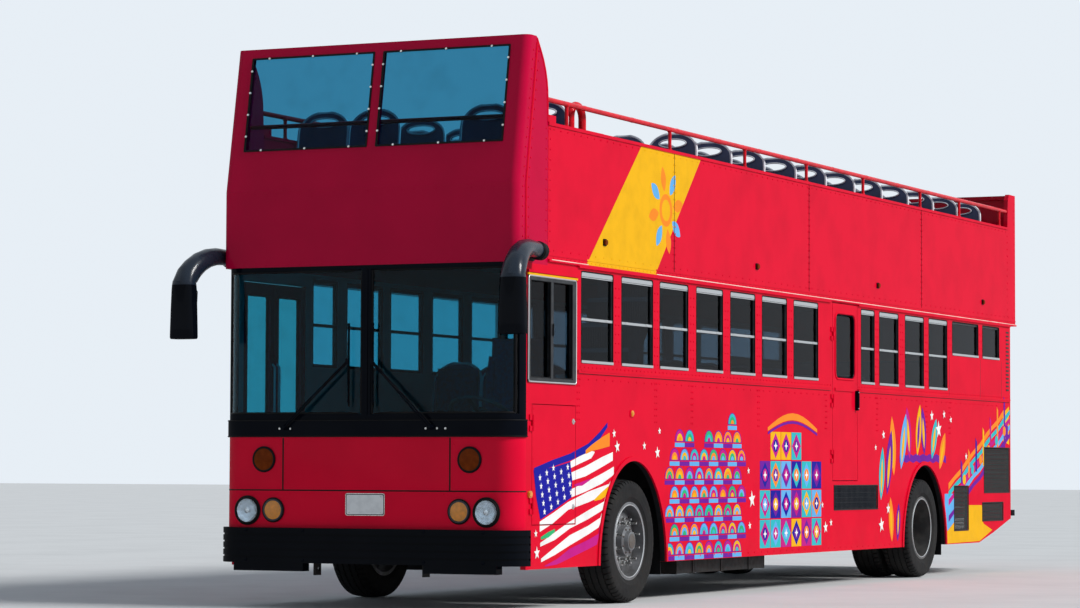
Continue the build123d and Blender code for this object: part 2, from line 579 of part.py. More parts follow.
# Doors and lids
LEAF_T = 40.0
with BuildPart() as emergency_door:
    with BuildSketch(Plane.YZ.offset(HALF_W - LEAF_T)) as sk:
        window_rect(DOOR[0] + GAP, DOOR[1] - GAP, DOOR[2] + GAP, DOOR[3] - GAP)
        with Locations((at((DOOR_WIN[0] + DOOR_WIN[1]) / 2), (DOOR_WIN[2] + DOOR_WIN[3]) / 2)):
            RectangleRounded(DOOR_WIN[1] - DOOR_WIN[0], DOOR_WIN[3] - DOOR_WIN[2], 70, mode=Mode.SUBTRACT)
    extrude(sk.sketch, amount=LEAF_T)
    block(HALF_W, HALF_W + 26, DOOR[1] - 60, DOOR[1] - 40, 1580, 1745)
    block(HALF_W, HALF_W + 10, DOOR[0] + 60, DOOR[1] - 120, RUB_Z, RUB_Z + 26)
    for z in DOOR_HINGES:
        knuckles(1, DOOR[0], 1, z, True)
emergency_door.part.label = "emergency_door"
export_step(emergency_door.part, "parts/emergency_door.step")

with BuildPart() as emergency_glass:
    with BuildSketch(Plane.YZ.offset(HALF_W - 24)) as sk:
        with Locations((at((DOOR_WIN[0] + DOOR_WIN[1]) / 2), (DOOR_WIN[2] + DOOR_WIN[3]) / 2)):
            RectangleRounded(DOOR_WIN[1] - DOOR_WIN[0], DOOR_WIN[3] - DOOR_WIN[2], 70)
    extrude(sk.sketch, amount=6)
emergency_glass.part.label = "emergency_glass"
export_step(emergency_glass.part, "parts/emergency_glass.step")

ENTRY_MID = (ENTRY[0] + ENTRY[1]) / 2
LEAF_FRONT = (ENTRY[0] + GAP, ENTRY_MID - GAP / 2)
LEAF_REAR = (ENTRY_MID + GAP / 2, ENTRY[1] - GAP)


LEAF_PANES = [(470.0, 1120.0), (1220.0, 2340.0)]     # bottom and top of a leaf's two windows
LEAF_STILE = 60.0


def entry_leaf(leaf):
    """One leaf of the entry with its two window openings."""
    with BuildSketch(Plane.YZ.offset(-HALF_W)) as sk:
        window_rect(leaf[0], leaf[1], ENTRY[2] + GAP, ENTRY[3] - GAP)
        for bottom, top in LEAF_PANES:
            window_rect(leaf[0] + LEAF_STILE, leaf[1] - LEAF_STILE, bottom, top, Mode.SUBTRACT)
    extrude(sk.sketch, amount=LEAF_T)


def entry_glass(leaf):
    """The two panes of one entry leaf."""
    with BuildSketch(Plane.YZ.offset(-HALF_W + 16)) as sk:
        for bottom, top in LEAF_PANES:
            window_rect(leaf[0] + LEAF_STILE, leaf[1] - LEAF_STILE, bottom, top)
    extrude(sk.sketch, amount=6)


with BuildPart() as entry_door_front:
    entry_leaf(LEAF_FRONT)
    for z in ENTRY_HINGES:
        knuckles(-1, ENTRY[0], 1, z, True)
entry_door_front.part.label = "entry_door_front"
export_step(entry_door_front.part, "parts/entry_door_front.step")

with BuildPart() as entry_door_rear:
    entry_leaf(LEAF_REAR)
    for z in ENTRY_HINGES:
        knuckles(-1, ENTRY[1], -1, z, True)
entry_door_rear.part.label = "entry_door_rear"
export_step(entry_door_rear.part, "parts/entry_door_rear.step")

with BuildPart() as entry_glass_front:
    entry_glass(LEAF_FRONT)
entry_glass_front.part.label = "entry_glass_front"
export_step(entry_glass_front.part, "parts/entry_glass_front.step")

with BuildPart() as entry_glass_rear:
    entry_glass(LEAF_REAR)
entry_glass_rear.part.label = "entry_glass_rear"
export_step(entry_glass_rear.part, "parts/entry_glass_rear.step")

with BuildPart() as battery_door:
    block(INNER + 21, HALF_W, HATCH[0] + GAP, HATCH[1] - GAP, HATCH[2] + GAP, HATCH[3] - GAP)
    for z in HATCH_HINGES:
        knuckles(1, HATCH[0], 1, z, True)
battery_door.part.label = "battery_door"
export_step(battery_door.part, "parts/battery_door.step")

with BuildPart() as engine_door:
    block(ENGINE_DOOR[0] + GAP, ENGINE_DOOR[1] - GAP, REAR_S - LEAF_T, REAR_S,
          ENGINE_DOOR[2] + GAP, ENGINE_DOOR[3] - GAP)
    block(ENGINE_DOOR[0] + 120, ENGINE_DOOR[1] - 120, REAR_S - 18, REAR_S + 5, ENGINE_DOOR[2] + 330,
          ENGINE_DOOR[3] - 90, mode=Mode.SUBTRACT)
    for k in range(8):
        z = ENGINE_DOOR[2] + 345 + k * 51
        block(ENGINE_DOOR[0] + 120, ENGINE_DOOR[1] - 120, REAR_S - 19, REAR_S - 3, z, z + 20)
    for x in (-560, 560):
        top_knuckles(x, True)
engine_door.part.label = "engine_door"
export_step(engine_door.part, "parts/engine_door.step")

# Upper deck
STAIR_X0, STAIR_X1 = 590.0, 1150.0
WELL_S0, WELL_S1 = 1380.0, 2980.0
SEAM = 0.3               # joint between the floor panels at both ends of the stairwell
with BuildPart() as upper_floor:
    with BuildSketch(Plane.XY.offset(DECK_Z - DECK_T)) as sk:
        with Locations((0, at(WING_S))):
            RectangleRounded(2 * INNER, 2 * (WING_S - WALL), NOSE_R - WALL)
        with Locations((0, at((WING_S + UP_REAR_S - UP_WALL) / 2))):
            Rectangle(2 * (UP_OUT - UP_WALL), UP_REAR_S - UP_WALL - WING_S)
        with Locations(((STAIR_X0 + STAIR_X1) / 2, at((WELL_S0 + WELL_S1) / 2))):
            Rectangle(STAIR_X1 - STAIR_X0, WELL_S1 - WELL_S0, mode=Mode.SUBTRACT)
        with Locations((0, at(WELL_S0 - SEAM / 2)), (0, at(WELL_S1 - SEAM / 2))):
            Rectangle(2 * UP_OUT, SEAM, mode=Mode.SUBTRACT)
    extrude(sk.sketch, amount=DECK_T)
upper_floor.part.label = "upper_floor"
export_step(upper_floor.part, "parts/upper_floor.step")


def nose_section(z, front_s, inset, radius):
    """Plan outline of the raked front at one height, mirrored about the wing line."""
    with BuildSketch(Plane.XY.offset(z)) as sk:
        with Locations((0, at(WING_S))):
            RectangleRounded(2 * (HALF_W - inset), 2 * (WING_S - front_s - inset), radius)
    return sk.sketch


SCREEN_Z0, SCREEN_Z1 = 3395.0, TOP_Z - 73
WING_RISE = TOP_Z - SIDE_TOP_Z


def wing_z(share):
    """Height of a point of the wing's curved edge, as a share of its rise over the sides."""
    return SIDE_TOP_Z + share * WING_RISE


RAKE = TOP_S / (TOP_Z - KINK_Z)
with BuildPart() as upper_front:
    nose_band(FASCIA_Z, KINK_Z, 0, WALL, WING_S, UP_NOSE_R)
    loft([nose_section(KINK_Z, 0, 0, UP_NOSE_R), nose_section(TOP_Z, TOP_S, 0, UP_NOSE_R)])
    loft([nose_section(KINK_Z, 0, WALL, NOSE_R - WALL), nose_section(TOP_Z, TOP_S, WALL, NOSE_R - WALL)],
         mode=Mode.SUBTRACT)
    block(-HALF_W - 5, HALF_W + 5, WING_S, 2 * WING_S + 20, KINK_Z - 5, TOP_Z + 5, mode=Mode.SUBTRACT)
    with BuildSketch(Plane.YZ.offset(-HALF_W - 10)) as sk:
        with BuildLine():
            l1 = Polyline((at(WING_S - 200), TOP_Z + 1), (at(WING_S + 40), TOP_Z + 1), (at(WING_S + 40), SIDE_TOP_Z),
                          (at(WING_S - 6), SIDE_TOP_Z), (at(WING_S - 18), wing_z(0.38)))
            l2 = ThreePointArc(l1 @ 1, (at(WING_S - 55), wing_z(0.617)), (at(WING_S - 135), wing_z(0.839)))
            l3 = ThreePointArc(l2 @ 1, (at(WING_S - 168), wing_z(0.918)), (at(WING_S - 200), TOP_Z + 1))
        make_face()
    extrude(sk.sketch, amount=2 * HALF_W + 20, mode=Mode.SUBTRACT)
    for side in (1, -1):
        block(side * 40, side * 1075, -40, 420, SCREEN_Z0, SCREEN_Z1, mode=Mode.SUBTRACT)
upper_front.part.label = "upper_front"
export_step(upper_front.part, "parts/upper_front.step")

with BuildPart() as upper_screens:
    with BuildSketch(Plane.YZ.offset(40)) as sk:
        side_poly([(RAKE * (SCREEN_Z0 - KINK_Z) + 16, SCREEN_Z0), (RAKE * (SCREEN_Z1 - KINK_Z) + 16, SCREEN_Z1),
                   (RAKE * (SCREEN_Z1 - KINK_Z) + 24, SCREEN_Z1), (RAKE * (SCREEN_Z0 - KINK_Z) + 24, SCREEN_Z0)])
    extrude(sk.sketch, amount=1035)
    mirror(about=Plane.YZ)
upper_screens.part.label = "upper_screens"
export_step(upper_screens.part, "parts/upper_screens.step")


WING_FOOT = (WING_S + 120, SIDE_TOP_Z + 53)      # rear end and top of the small box at each wing's foot
BULK_S = UP_REAR_S - 270         # where the low side tops end and the rear bulkhead's cheeks rise


def upper_side():
    """Upper side panel that rises to the rear bulkhead."""
    side_poly([(WING_S, DRIP_Z), (UP_REAR_S, DRIP_Z), (UP_REAR_S, BULK_TOP_Z), (BULK_S + 60, BULK_TOP_Z),
               (BULK_S + 20, BULK_TOP_Z - 60), (BULK_S, SIDE_TOP_Z), (WING_S, SIDE_TOP_Z)])


with BuildPart() as upper_side_left:
    with BuildSketch(Plane.YZ.offset(UP_OUT - UP_WALL)) as sk:
        upper_side()
    extrude(sk.sketch, amount=UP_WALL)
    block(UP_OUT - UP_WALL - 10, UP_OUT + 8, WING_S, BULK_S, SIDE_TOP_Z - 24, SIDE_TOP_Z)
    block(UP_OUT - UP_WALL, UP_OUT + 6, WING_S, WING_FOOT[0], SIDE_TOP_Z, WING_FOOT[1])
    block(UP_OUT, UP_OUT + 14, WING_S, UP_REAR_S, DRIP_Z, DRIP_Z + 18)
upper_side_left.part.label = "upper_side_left"
export_step(upper_side_left.part, "parts/upper_side_left.step")

with BuildPart() as upper_side_right:
    with BuildSketch(Plane.YZ.offset(-UP_OUT)) as sk:
        upper_side()
    extrude(sk.sketch, amount=UP_WALL)
    block(-UP_OUT - 8, -UP_OUT + UP_WALL + 10, WING_S, BULK_S, SIDE_TOP_Z - 24, SIDE_TOP_Z)
    block(-UP_OUT - 6, -UP_OUT + UP_WALL, WING_S, WING_FOOT[0], SIDE_TOP_Z, WING_FOOT[1])
    block(-UP_OUT - 14, -UP_OUT, WING_S, UP_REAR_S, DRIP_Z, DRIP_Z + 18)
upper_side_right.part.label = "upper_side_right"
export_step(upper_side_right.part, "parts/upper_side_right.step")

with BuildPart() as upper_rear:
    block(-UP_OUT + UP_WALL, UP_OUT - UP_WALL, UP_REAR_S - UP_WALL, UP_REAR_S, DRIP_Z, BULK_TOP_Z)
    block(-UP_OUT + UP_WALL, UP_OUT - UP_WALL, UP_REAR_S - UP_WALL - 30, UP_REAR_S - UP_WALL,
          BULK_TOP_Z - 40, BULK_TOP_Z)
upper_rear.part.label = "upper_rear"
export_step(upper_rear.part, "parts/upper_rear.step")

# Hand rails
RAIL_X = UP_OUT - 22
RAIL_TOP_Z = 3738.0
POSTS = [885, 2849, 4465, 5936, 7420, 9059, 10278, 11620]
GUARD_Z = 3720.0
FRONT_BAR = (300.0, 3600.0)      # station and height of the rail behind the upper screens
with BuildPart() as handrails:
    rod((-INNER, FRONT_BAR[0], FRONT_BAR[1]), (INNER, FRONT_BAR[0], FRONT_BAR[1]), 17)
    for side in (1, -1):
        rod((side * RAIL_X, WING_S - 13.5, RAIL_TOP_Z), (side * RAIL_X, BULK_S + 8, RAIL_TOP_Z), 19)
        for s in POSTS:
            rod((side * RAIL_X, s, SIDE_TOP_Z), (side * RAIL_X, s, RAIL_TOP_Z), 14)
    for s in (WELL_S0, (WELL_S0 + WELL_S1) / 2, WELL_S1 - 30):
        rod((STAIR_X0 - 30, s, DECK_Z), (STAIR_X0 - 30, s, GUARD_Z), 17)
    rod((STAIR_X0 - 30, WELL_S0 - 20, GUARD_Z), (STAIR_X0 - 30, WELL_S1 - 10, GUARD_Z), 19)
    rod((STAIR_X0 - 30, WELL_S0, GUARD_Z - 420), (STAIR_X0 - 30, WELL_S1 - 30, GUARD_Z - 420), 14)
    with BuildLine() as loop:
        FilletPolyline((1120, at(1130), DECK_Z), (1120, at(1130), 3765), (1120, at(1340), 3765),
                       (1120, at(1340), DECK_Z), radius=95)
    with BuildSketch(Plane(origin=(1120, at(1130), DECK_Z), z_dir=(0, 0, 1))) as sk:
        Circle(30)
    sweep(sk.sketch, path=loop.line)
handrails.part.label = "handrails"
export_step(handrails.part, "parts/handrails.step")

# Seats and stair
SEAT_W = 440.0
SEAT_GAP = 4.0           # half the gap between the two shells of a bench
BACK_T = 32.0
BACK_FOOT, BACK_TOP = (402.0, 450.0), (478.0, 985.0)     # front face of the back: station, height
RISE_BACK, LEAN_BACK = BACK_TOP[1] - BACK_FOOT[1], BACK_TOP[0] - BACK_FOOT[0]
TALL_BACK = (RISE_BACK ** 2 + LEAN_BACK ** 2) ** 0.5
HEEL = (BACK_FOOT[0] + BACK_T * RISE_BACK / TALL_BACK, BACK_FOOT[1] - BACK_T * LEAN_BACK / TALL_BACK)
GRIP = (110.0, 26.0)     # half sizes of the hand hole


def pans(foot):
    """The two seat pans of a bench on their pedestal, front edge at station 0 and foot at Z foot."""
    for start in (-SEAT_W - SEAT_GAP, SEAT_GAP):
        with BuildSketch(Plane.YZ.offset(start)) as sk:
            Polygon((0, 398), (-6, 430), (30, 462), (360, 430), BACK_FOOT, HEEL, (HEEL[0], 398), align=None)
        extrude(sk.sketch, amount=SEAT_W)
    with Locations((0, 230, 366)):
        Box(2 * SEAT_W - 180, 200, 70)
    for x in (-220, 220):
        with Locations((x, 230, (332 + foot) / 2)):
            Box(50, 140, 332 - foot)


def backs(grip):
    """The two leaning backs of a bench with rounded corners and, on the upper deck, a hand hole."""
    for x in (-SEAT_W / 2 - SEAT_GAP, SEAT_W / 2 + SEAT_GAP):
        face = Plane(origin=(x, (BACK_FOOT[0] + BACK_TOP[0]) / 2, (BACK_FOOT[1] + BACK_TOP[1]) / 2),
                     x_dir=(1, 0, 0), z_dir=(0, RISE_BACK, -LEAN_BACK))
        with BuildSketch(face) as sk:
            RectangleRounded(SEAT_W, TALL_BACK, 78)
            if grip:
                with Locations((0, -TALL_BACK / 2 + 66)):
                    Ellipse(*GRIP, mode=Mode.SUBTRACT)
        extrude(sk.sketch, amount=BACK_T)


BENCH_X = 1150 - SEAT_W - SEAT_GAP
UPPER_ROWS_LEFT = [560] + [3080 + k * 760 for k in range(11)]
UPPER_ROWS_RIGHT = [560 + k * 760 for k in range(15)]
LOWER_ROWS_LEFT = [3000 + k * 740 for k in range(4)] + [7300]
LOWER_ROWS_RIGHT = [2900 + k * 740 for k in range(7)]
UPPER_PLACES = [(BENCH_X, at(s), DECK_Z) for s in UPPER_ROWS_LEFT]
UPPER_PLACES += [(-BENCH_X, at(s), DECK_Z) for s in UPPER_ROWS_RIGHT]
LOWER_PLACES = [(BENCH_X, at(s), FLOOR_Z) for s in LOWER_ROWS_LEFT]
LOWER_PLACES += [(-BENCH_X, at(s), FLOOR_Z) for s in LOWER_ROWS_RIGHT]
with BuildPart() as bench_pans:
    pans(0)
with BuildPart() as upper_bench_backs:
    backs(True)
with BuildPart() as lower_bench_backs:
    backs(False)

with BuildPart() as upper_seats:
    with Locations(*UPPER_PLACES):
        add(bench_pans.part)
upper_seats.part.label = "upper_seats"
export_step(upper_seats.part, "parts/upper_seats.step")

with BuildPart() as upper_seat_backs:
    with Locations(*UPPER_PLACES):
        add(upper_bench_backs.part)
upper_seat_backs.part.label = "upper_seat_backs"
export_step(upper_seat_backs.part, "parts/upper_seat_backs.step")

RAISED = [8560, 9240]    # benches on the rear wheel boxes
REAR_BENCH = (11100, 11500, 11560)       # front, back's front, back's rear
DRIVER_X0, DRIVER_X1, DRIVER_S = 430, 930, 700
with BuildPart() as lower_seats:
    with Locations(*LOWER_PLACES):
        add(bench_pans.part)
    for side in (1, -1):
        for s in RAISED:
            block(side * 230, side * 1130, s, s + 430, BOX_TOP, BOX_TOP + 225)
            block(side * 230, side * BOX_IN, s + 60, s + 400, FLOOR_Z, BOX_TOP + 10)
    block(-1150, 1150, REAR_BENCH[0], REAR_BENCH[1], BAY_Z, BAY_Z + 240)
    with BuildSketch(Plane.YZ.offset(DRIVER_X0)) as sk:
        side_poly([(DRIVER_S, FLOOR_Z + 430), (DRIVER_S, FLOOR_Z + 500), (DRIVER_S + 380, FLOOR_Z + 500),
                   (DRIVER_S + 380, FLOOR_Z + 430)])
    extrude(sk.sketch, amount=DRIVER_X1 - DRIVER_X0)
    block(560, 800, DRIVER_S + 120, DRIVER_S + 340, FLOOR_Z, FLOOR_Z + 440)
lower_seats.part.label = "lower_seats"
export_step(lower_seats.part, "parts/lower_seats.step")

with BuildPart() as lower_seat_backs:
    with Locations(*LOWER_PLACES):
        add(lower_bench_backs.part)
    for side in (1, -1):
        for s in RAISED:
            with BuildSketch(Plane.YZ.offset(side * 680 - 450)) as sk:
                side_poly([(s + 430, BOX_TOP), (s + 430, BOX_TOP + 225), (s + 470, BOX_TOP + 740),
                           (s + 510, BOX_TOP + 740), (s + 470, BOX_TOP)])
            extrude(sk.sketch, amount=900)
    block(-1150, 1150, REAR_BENCH[1], REAR_BENCH[2], BAY_Z, BAY_Z + 760)
    with BuildSketch(Plane.YZ.offset(DRIVER_X0)) as sk:
        side_poly([(DRIVER_S + 380, FLOOR_Z + 430), (DRIVER_S + 380, FLOOR_Z + 500), (DRIVER_S + 450, FLOOR_Z + 1100),
                   (DRIVER_S + 520, FLOOR_Z + 1100), (DRIVER_S + 450, FLOOR_Z + 430)])
    extrude(sk.sketch, amount=DRIVER_X1 - DRIVER_X0)
lower_seat_backs.part.label = "lower_seat_backs"
export_step(lower_seat_backs.part, "parts/lower_seat_backs.step")

STEPS = 8
STAIR_GO = 200.0
STAIR_S0 = WELL_S1 - STEPS * STAIR_GO
RISE = (DECK_Z - FLOOR_Z) / (STEPS + 1)
with BuildPart() as stair:
    pts = [(STAIR_S0, FLOOR_Z)]
    for k in range(1, STEPS + 1):
        pts += [(STAIR_S0 + (k - 1) * STAIR_GO, FLOOR_Z + k * RISE)]
        pts += [(STAIR_S0 + k * STAIR_GO - (20 if k == STEPS else 0), FLOOR_Z + k * RISE)]
    pts += [(WELL_S1 - 20, DECK_Z), (WELL_S1, DECK_Z), (WELL_S1, DECK_Z - RISE - 32), (STAIR_S0 + 60, FLOOR_Z)]
    with BuildSketch(Plane.YZ.offset(STAIR_X0 + 10)) as sk:
        side_poly(pts)
        window_rect(FRONT_AXLE_S - BOX_HALF - BOX_T, FRONT_AXLE_S + BOX_HALF + BOX_T, RAIL_Z1, BOX_TOP,
                    Mode.SUBTRACT)
    extrude(sk.sketch, amount=STAIR_X1 - STAIR_X0 - 20)
stair.part.label = "stair"
export_step(stair.part, "parts/stair.step")

with BuildPart() as dashboard:
    with BuildSketch(Plane.YZ.offset(-400)) as sk:
        side_poly([(70, FLOOR_Z), (70, 1380), (250, 1380), (420, 1290), (420, 1180), (330, FLOOR_Z)])
    extrude(sk.sketch, amount=1500)
    block(-401, 1101, 60, NOSE_R + 1, FLOOR_Z - 1, FLOOR_Z + 20, mode=Mode.SUBTRACT)
    rod((680, 360, 1150), (680, 520, 1430), 28)
    wheel_plane = Plane(origin=(680, at(528), 1444), z_dir=Vector(0, 160, 280).normalized())
    with BuildSketch(wheel_plane) as sk:
        Circle(240)
        Circle(212, mode=Mode.SUBTRACT)
        Rectangle(430, 34)
        Circle(60)
    extrude(sk.sketch, amount=-22)
dashboard.part.label = "dashboard"
export_step(dashboard.part, "parts/dashboard.step")

# Outside fittings
BUMPER_Z0, BUMPER_Z1 = 330.0, 588.0
with BuildPart() as bumpers:
    nose_band(BUMPER_Z0, BUMPER_Z1, -BUMPER_OUT, BUMPER_OUT - 10, NOSE_R)
    nose_band(PANEL_Z0, BUMPER_Z1 - 10, -10, 10, NOSE_R)
    for k in range(4):
        z = BUMPER_Z0 + 40 + k * 54
        nose_band(z, z + 14, -BUMPER_OUT, 8, NOSE_R - 1, mode=Mode.SUBTRACT)
    for side in (1, -1):
        block(side * 498, side * 1085, 6 - BUMPER_OUT, 60, BUMPER_Z0 - 60, BUMPER_Z0 + 1)
    block(-HALF_W + 30, HALF_W - 30, REAR_S, REAR_BUMPER_S, 560, 620)
bumpers.part.label = "bumpers"
export_step(bumpers.part, "parts/bumpers.step")

HEADLAMP = (988, 714, 101)        # |x|, z, radius
TURN = (769, 718, 84)
UPPER_AMBER = (851, 1092, 95)


def lamp(x, z, r, depth):
    """A round lamp standing out of the front face."""
    with Locations((x, at(-depth / 2), z)):
        Cylinder(r, depth, rotation=(90, 0, 0))


with BuildPart() as headlamps:
    for side in (1, -1):
        lamp(side * HEADLAMP[0], HEADLAMP[1], HEADLAMP[2], 26)
headlamps.part.label = "headlamps"
export_step(headlamps.part, "parts/headlamps.step")

SIDE_MARKS = [1530, 4687, 7761, 10976]
with BuildPart() as amber_lamps:
    for side in (1, -1):
        lamp(side * TURN[0], TURN[1], TURN[2], 22)
        lamp(side * UPPER_AMBER[0], UPPER_AMBER[1], UPPER_AMBER[2], 20)
        for s in SIDE_MARKS:
            block(side * UP_OUT, side * (UP_OUT + 22), s - 22, s + 22, 2728, 2768)
        block(side * HALF_W, side * (HALF_W + 20), 2020, 2100, 1430, 1485)
    block(HALF_W, HALF_W + 18, 190, 252, 820, 870)
amber_lamps.part.label = "amber_lamps"
export_step(amber_lamps.part, "parts/amber_lamps.step")

with BuildPart() as tail_lamps:
    for side in (1, -1):
        for z in (760, 960, 1160):
            with Locations((side * 960, at(REAR_S + 12), z)):
                Cylinder(80, 24, rotation=(90, 0, 0))
tail_lamps.part.label = "tail_lamps"
export_step(tail_lamps.part, "parts/tail_lamps.step")

ARM_X = 1350.0
with BuildPart() as mirrors:
    for side in (1, -1):
        with BuildLine() as arm:
            FilletPolyline((side * (HALF_W - 2), at(120), 2600), (side * (ARM_X - 20), at(-40), 2620),
                           (side * ARM_X, at(MIRROR_S), 2590), (side * ARM_X, at(MIRROR_S), 2360), radius=90)
        with BuildSketch(Plane(origin=arm.line @ 0, z_dir=arm.line % 0)) as sk:
            Circle(58)
        sweep(sk.sketch, path=arm.line)
        with BuildSketch(Plane.XY.offset(1975)) as sk:
            with Locations((side * ARM_X, at(MIRROR_S))):
                RectangleRounded(262, MIRROR_DEPTH, 60)
        with BuildSketch(Plane.XY.offset(2400)) as sk2:
            with Locations((side * ARM_X, at(MIRROR_S))):
                RectangleRounded(226, MIRROR_DEPTH - 30, 60)
        loft([sk.sketch, sk2.sketch])
    nose_band(FASCIA_Z, KINK_Z, 0, 2 * WALL, WING_S, UP_NOSE_R, Mode.SUBTRACT)
mirrors.part.label = "mirrors"
export_step(mirrors.part, "parts/mirrors.step")

WIPERS = [(-666, -133), (546, 67)]        # pivot x, blade x
BLADE_Z = (1480.0, 2090.0)                # bottom and top of the blades
with BuildPart() as wipers:
    for pivot, blade in WIPERS:
        rod((pivot, -12, 1330), (pivot, -52, 1330), 22)
        rod((pivot, -42, 1330), (blade, -42, 1810), 9)
        block(blade - 9, blade + 9, -36, -8, BLADE_Z[0], BLADE_Z[1])
        block(blade - 7, blade + 7, -50, -30, 1790, 1830)
wipers.part.label = "wipers"
export_step(wipers.part, "parts/wipers.step")

# Machinery and grilles
with BuildPart() as engine:
    block(-370, 370, ENGINE_S, 11700, 420, 1300)
    for s in (10500, 11350):
        block(-RAIL_OUT + RAIL_WEB, RAIL_OUT - RAIL_WEB, s, s + 120, 700, 800)
engine.part.label = "engine"
export_step(engine.part, "parts/engine.step")

TANK = (540, 1100, 3240, 5170, 190, 600)
with BuildPart() as fuel_tank:
    block(*TANK)
    for s in (3700, 4750):
        block(700, 760, s, s + 60, 595, RAIL_Z1)
        block(960, 1020, s, s + 60, 595, RAIL_Z1)
fuel_tank.part.label = "fuel_tank"
export_step(fuel_tank.part, "parts/fuel_tank.step")


def louvre(s0, s1, z0, z1, pitch):
    """Sketch of a framed set of slats that fills one opening of a side wall."""
    window_rect(s0, s1, z0, z1)
    count = int((z1 - z0 - 36) / pitch)
    step = (z1 - z0 - 36) / count
    for k in range(count):
        low = z0 + 18 + k * step
        window_rect(s0 + 18, s1 - 18, low + (5 if k else 0), low + step - (5 if k < count - 1 else 0),
                    Mode.SUBTRACT)


with BuildPart() as side_grilles:
    for side in (1, -1):
        with BuildSketch(Plane.YZ.offset(INNER + 18 if side > 0 else -INNER - 38)) as sk:
            for opening in MESHES + ([GRILLE] if side > 0 else []):
                louvre(*opening, 36)
        extrude(sk.sketch, amount=20)
side_grilles.part.label = "side_grilles"
export_step(side_grilles.part, "parts/side_grilles.step")

with BuildPart() as mud_flaps:
    for side in (1, -1):
        for s_mid in (FRONT_AXLE_S, REAR_AXLE_S):
            s = s_mid + BOX_HALF + 4
            block(side * (BOX_IN + 70), side * (INNER - 5), s, s + 10, 200, RAIL_Z1)
mud_flaps.part.label = "mud_flaps"
export_step(mud_flaps.part, "parts/mud_flaps.step")
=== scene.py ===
import json
import logging
import random
from collections.abc import Callable
from dataclasses import dataclass, field
from enum import Enum
from functools import cache, cached_property
from math import cos, exp, pi, radians, sin, sqrt

import bmesh
import bpy
from mathutils import Matrix, Vector

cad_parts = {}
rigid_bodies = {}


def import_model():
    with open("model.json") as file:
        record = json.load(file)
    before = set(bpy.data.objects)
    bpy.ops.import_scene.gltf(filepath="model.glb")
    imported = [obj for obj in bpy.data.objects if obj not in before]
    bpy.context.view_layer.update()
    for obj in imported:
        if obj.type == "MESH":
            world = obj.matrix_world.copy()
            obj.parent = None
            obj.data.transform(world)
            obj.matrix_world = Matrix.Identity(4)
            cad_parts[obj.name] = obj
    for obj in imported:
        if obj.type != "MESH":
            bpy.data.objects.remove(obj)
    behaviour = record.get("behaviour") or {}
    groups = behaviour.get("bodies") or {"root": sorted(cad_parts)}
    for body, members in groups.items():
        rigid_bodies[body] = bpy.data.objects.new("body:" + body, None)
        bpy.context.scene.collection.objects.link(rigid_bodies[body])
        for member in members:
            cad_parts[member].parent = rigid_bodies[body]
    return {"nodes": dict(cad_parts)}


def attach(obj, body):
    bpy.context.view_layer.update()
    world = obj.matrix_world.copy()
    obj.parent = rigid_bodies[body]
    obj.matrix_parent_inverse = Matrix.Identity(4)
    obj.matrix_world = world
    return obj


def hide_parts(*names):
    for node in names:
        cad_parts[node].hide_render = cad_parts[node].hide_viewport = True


for leftover in list(bpy.data.objects):
    bpy.data.objects.remove(leftover)
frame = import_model()
log = logging.getLogger("bus")

Flat = tuple[float, float]
Colour = tuple[float, float, float]
Socket = bpy.types.NodeSocket
Piece = bpy.types.Object
AHEAD, BACK, UP = (0, -1, 0), (0, 1, 0), (0, 0, 1)

# Metres, in the shared frame. A station is the distance back from the flat front face.
FACE_Y = -5.865
HALF_W = 1.22
INNER = 1.175
UP_OUT = 1.222
NOSE_R = 0.165
REAR_S = 12.06
AXLE_Z = 0.475
FRONT_AXLE_S = 2.092
REAR_AXLE_S = 9.12
WHEEL_X = 1.067
TWIN_X = 0.747
DECK_Z = 2.8
FLOOR_Z = 0.93
KINK_Z = 3.088
TOP_Z = 4.178
RAKE = 0.19 / (TOP_Z - KINK_Z)
WING_S = 0.52
ARCHES = ((FRONT_AXLE_S, 0.79), (REAR_AXLE_S, 0.778))
SIDE_TOP_Z = 3.569


def at(s: float) -> float:
    """Y of a station."""
    return FACE_Y + s


def rake_at(z: float) -> float:
    """How far the upper front has leant back at one height."""
    return RAKE * max(0.0, z - KINK_Z)


def turns(count: int, shift: float = 0.0) -> list[float]:
    """Equal angles round a circle."""
    return [2 * pi * (k + shift) / count for k in range(count)]


def circle(u: float, v: float, radius: float, count: int, shift: float = 0.0) -> list[Flat]:
    """Points of a circle."""
    return [(u + radius * cos(t), v + radius * sin(t)) for t in turns(count, shift)]


def oblong(u0: float, u1: float, v0: float, v1: float) -> list[Flat]:
    """Corners of a rectangle."""
    return [(u0, v0), (u1, v0), (u1, v1), (u0, v1)]


class Side(Enum):
    """The two sides of the bus, valued by the sign of X."""

    LEFT = 1
    RIGHT = -1

    @property
    def word(self) -> str:
        """The side's name as pieces use it."""
        return self.name.lower()


class Grain(Enum):
    """The fine surface of a finish."""

    PEEL = "sprayed paint"
    STIPPLE = "moulded stipple"
    DRAWN = "drawn lines"
    WEAVE = "crossed yarns"
    CAST = "cast skin"
    RIBBED = "ribbed sheet"


